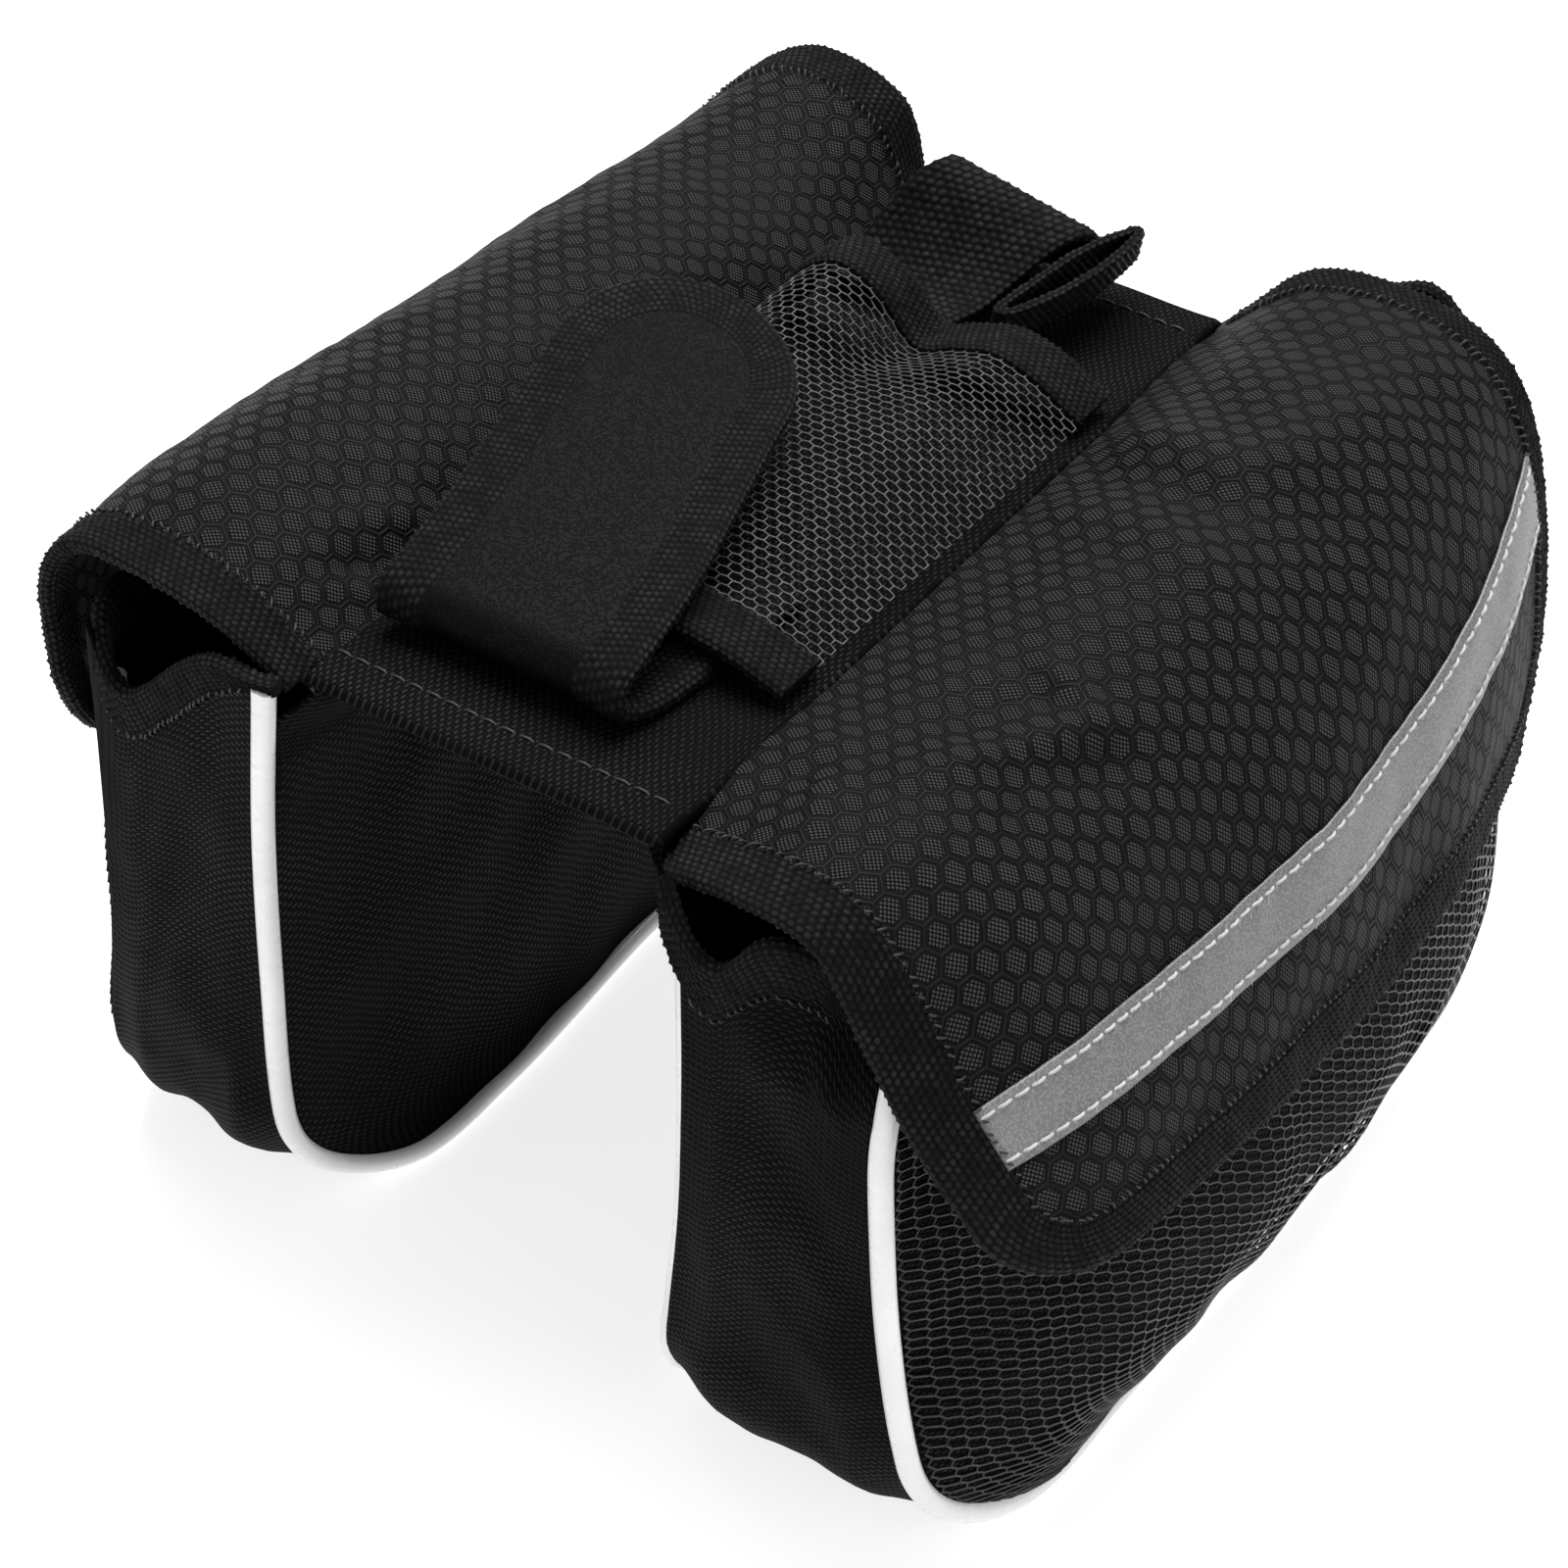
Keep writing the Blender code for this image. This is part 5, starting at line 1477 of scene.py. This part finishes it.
# Floor, light and camera
# A pale sheet as in a small studio: one large soft light above and behind, a weaker one in front.
white_floor, tree, shader = new_finish("studio_floor", roughness=0.9)
shader.inputs["Base Color"].default_value = (0.42, 0.42, 0.42, 1.0)
shader.inputs["Emission Color"].default_value = (1.0, 1.0, 1.0, 1.0)
shader.inputs["Emission Strength"].default_value = 0.78
floor_mesh = bpy.data.meshes.new("floor")
floor_mesh.from_pydata([(-3, -3, 0), (3, -3, 0), (3, 3, 0), (-3, 3, 0)], [], [(0, 1, 2, 3)])
floor_mesh.materials.append(white_floor)
floor = bpy.data.objects.new("floor", floor_mesh)
bpy.context.scene.collection.objects.link(floor)

world = bpy.data.worlds.new("studio")
bpy.context.scene.world = world
world.use_nodes = True
world.node_tree.nodes["Background"].inputs["Color"].default_value = (1.0, 1.0, 1.0, 1.0)
world.node_tree.nodes["Background"].inputs["Strength"].default_value = 0.32

STUDIO = [
    # name  place  size  watts
    ("overhead", (-0.15, 0.35, 1.0), 0.8, 19.0),
    ("side", (0.9, -0.1, 0.5), 0.6, 2.5),
    ("front", (-0.5, -1.0, 0.6), 0.6, 2.0),
]
for name, place, size, watts in STUDIO:
    light = bpy.data.lights.new(name, "AREA")
    light.shape = "SQUARE"
    light.size = size
    light.energy = watts
    lamp = bpy.data.objects.new(name, light)
    lamp.location = place
    lamp.rotation_euler = (Vector((0, 0, 0.08)) - Vector(place)).to_track_quat("-Z", "Y").to_euler()
    bpy.context.scene.collection.objects.link(lamp)

view_azimuth = math.radians(33.38)
view_elevation = math.radians(40.75)
view_roll = math.radians(1.11)
view_target = Vector((0, -3, 70)) * MM
view_distance = 439.76 * MM
view_aside = -1.27 * MM
view_up = -12.68 * MM
back = Vector((
    math.sin(view_azimuth) * math.cos(view_elevation),
    -math.cos(view_azimuth) * math.cos(view_elevation),
    math.sin(view_elevation),
))
level = Vector((math.cos(view_azimuth), math.sin(view_azimuth), 0))
upright = back.cross(level)
right = math.cos(view_roll) * level + math.sin(view_roll) * upright
up = -math.sin(view_roll) * level + math.cos(view_roll) * upright
camera_data = bpy.data.cameras.new("camera")
camera_data.lens = 67.5
camera_data.sensor_width = 36.0
camera_data.clip_start = 0.01
camera = bpy.data.objects.new("camera", camera_data)
place = view_target + back * view_distance + right * view_aside + up * view_up
camera.matrix_world = Matrix.Translation(place) @ Matrix((right, up, back)).transposed().to_4x4()
bpy.context.scene.collection.objects.link(camera)
bpy.context.scene.camera = camera
bpy.context.scene.view_settings.view_transform = "Standard"
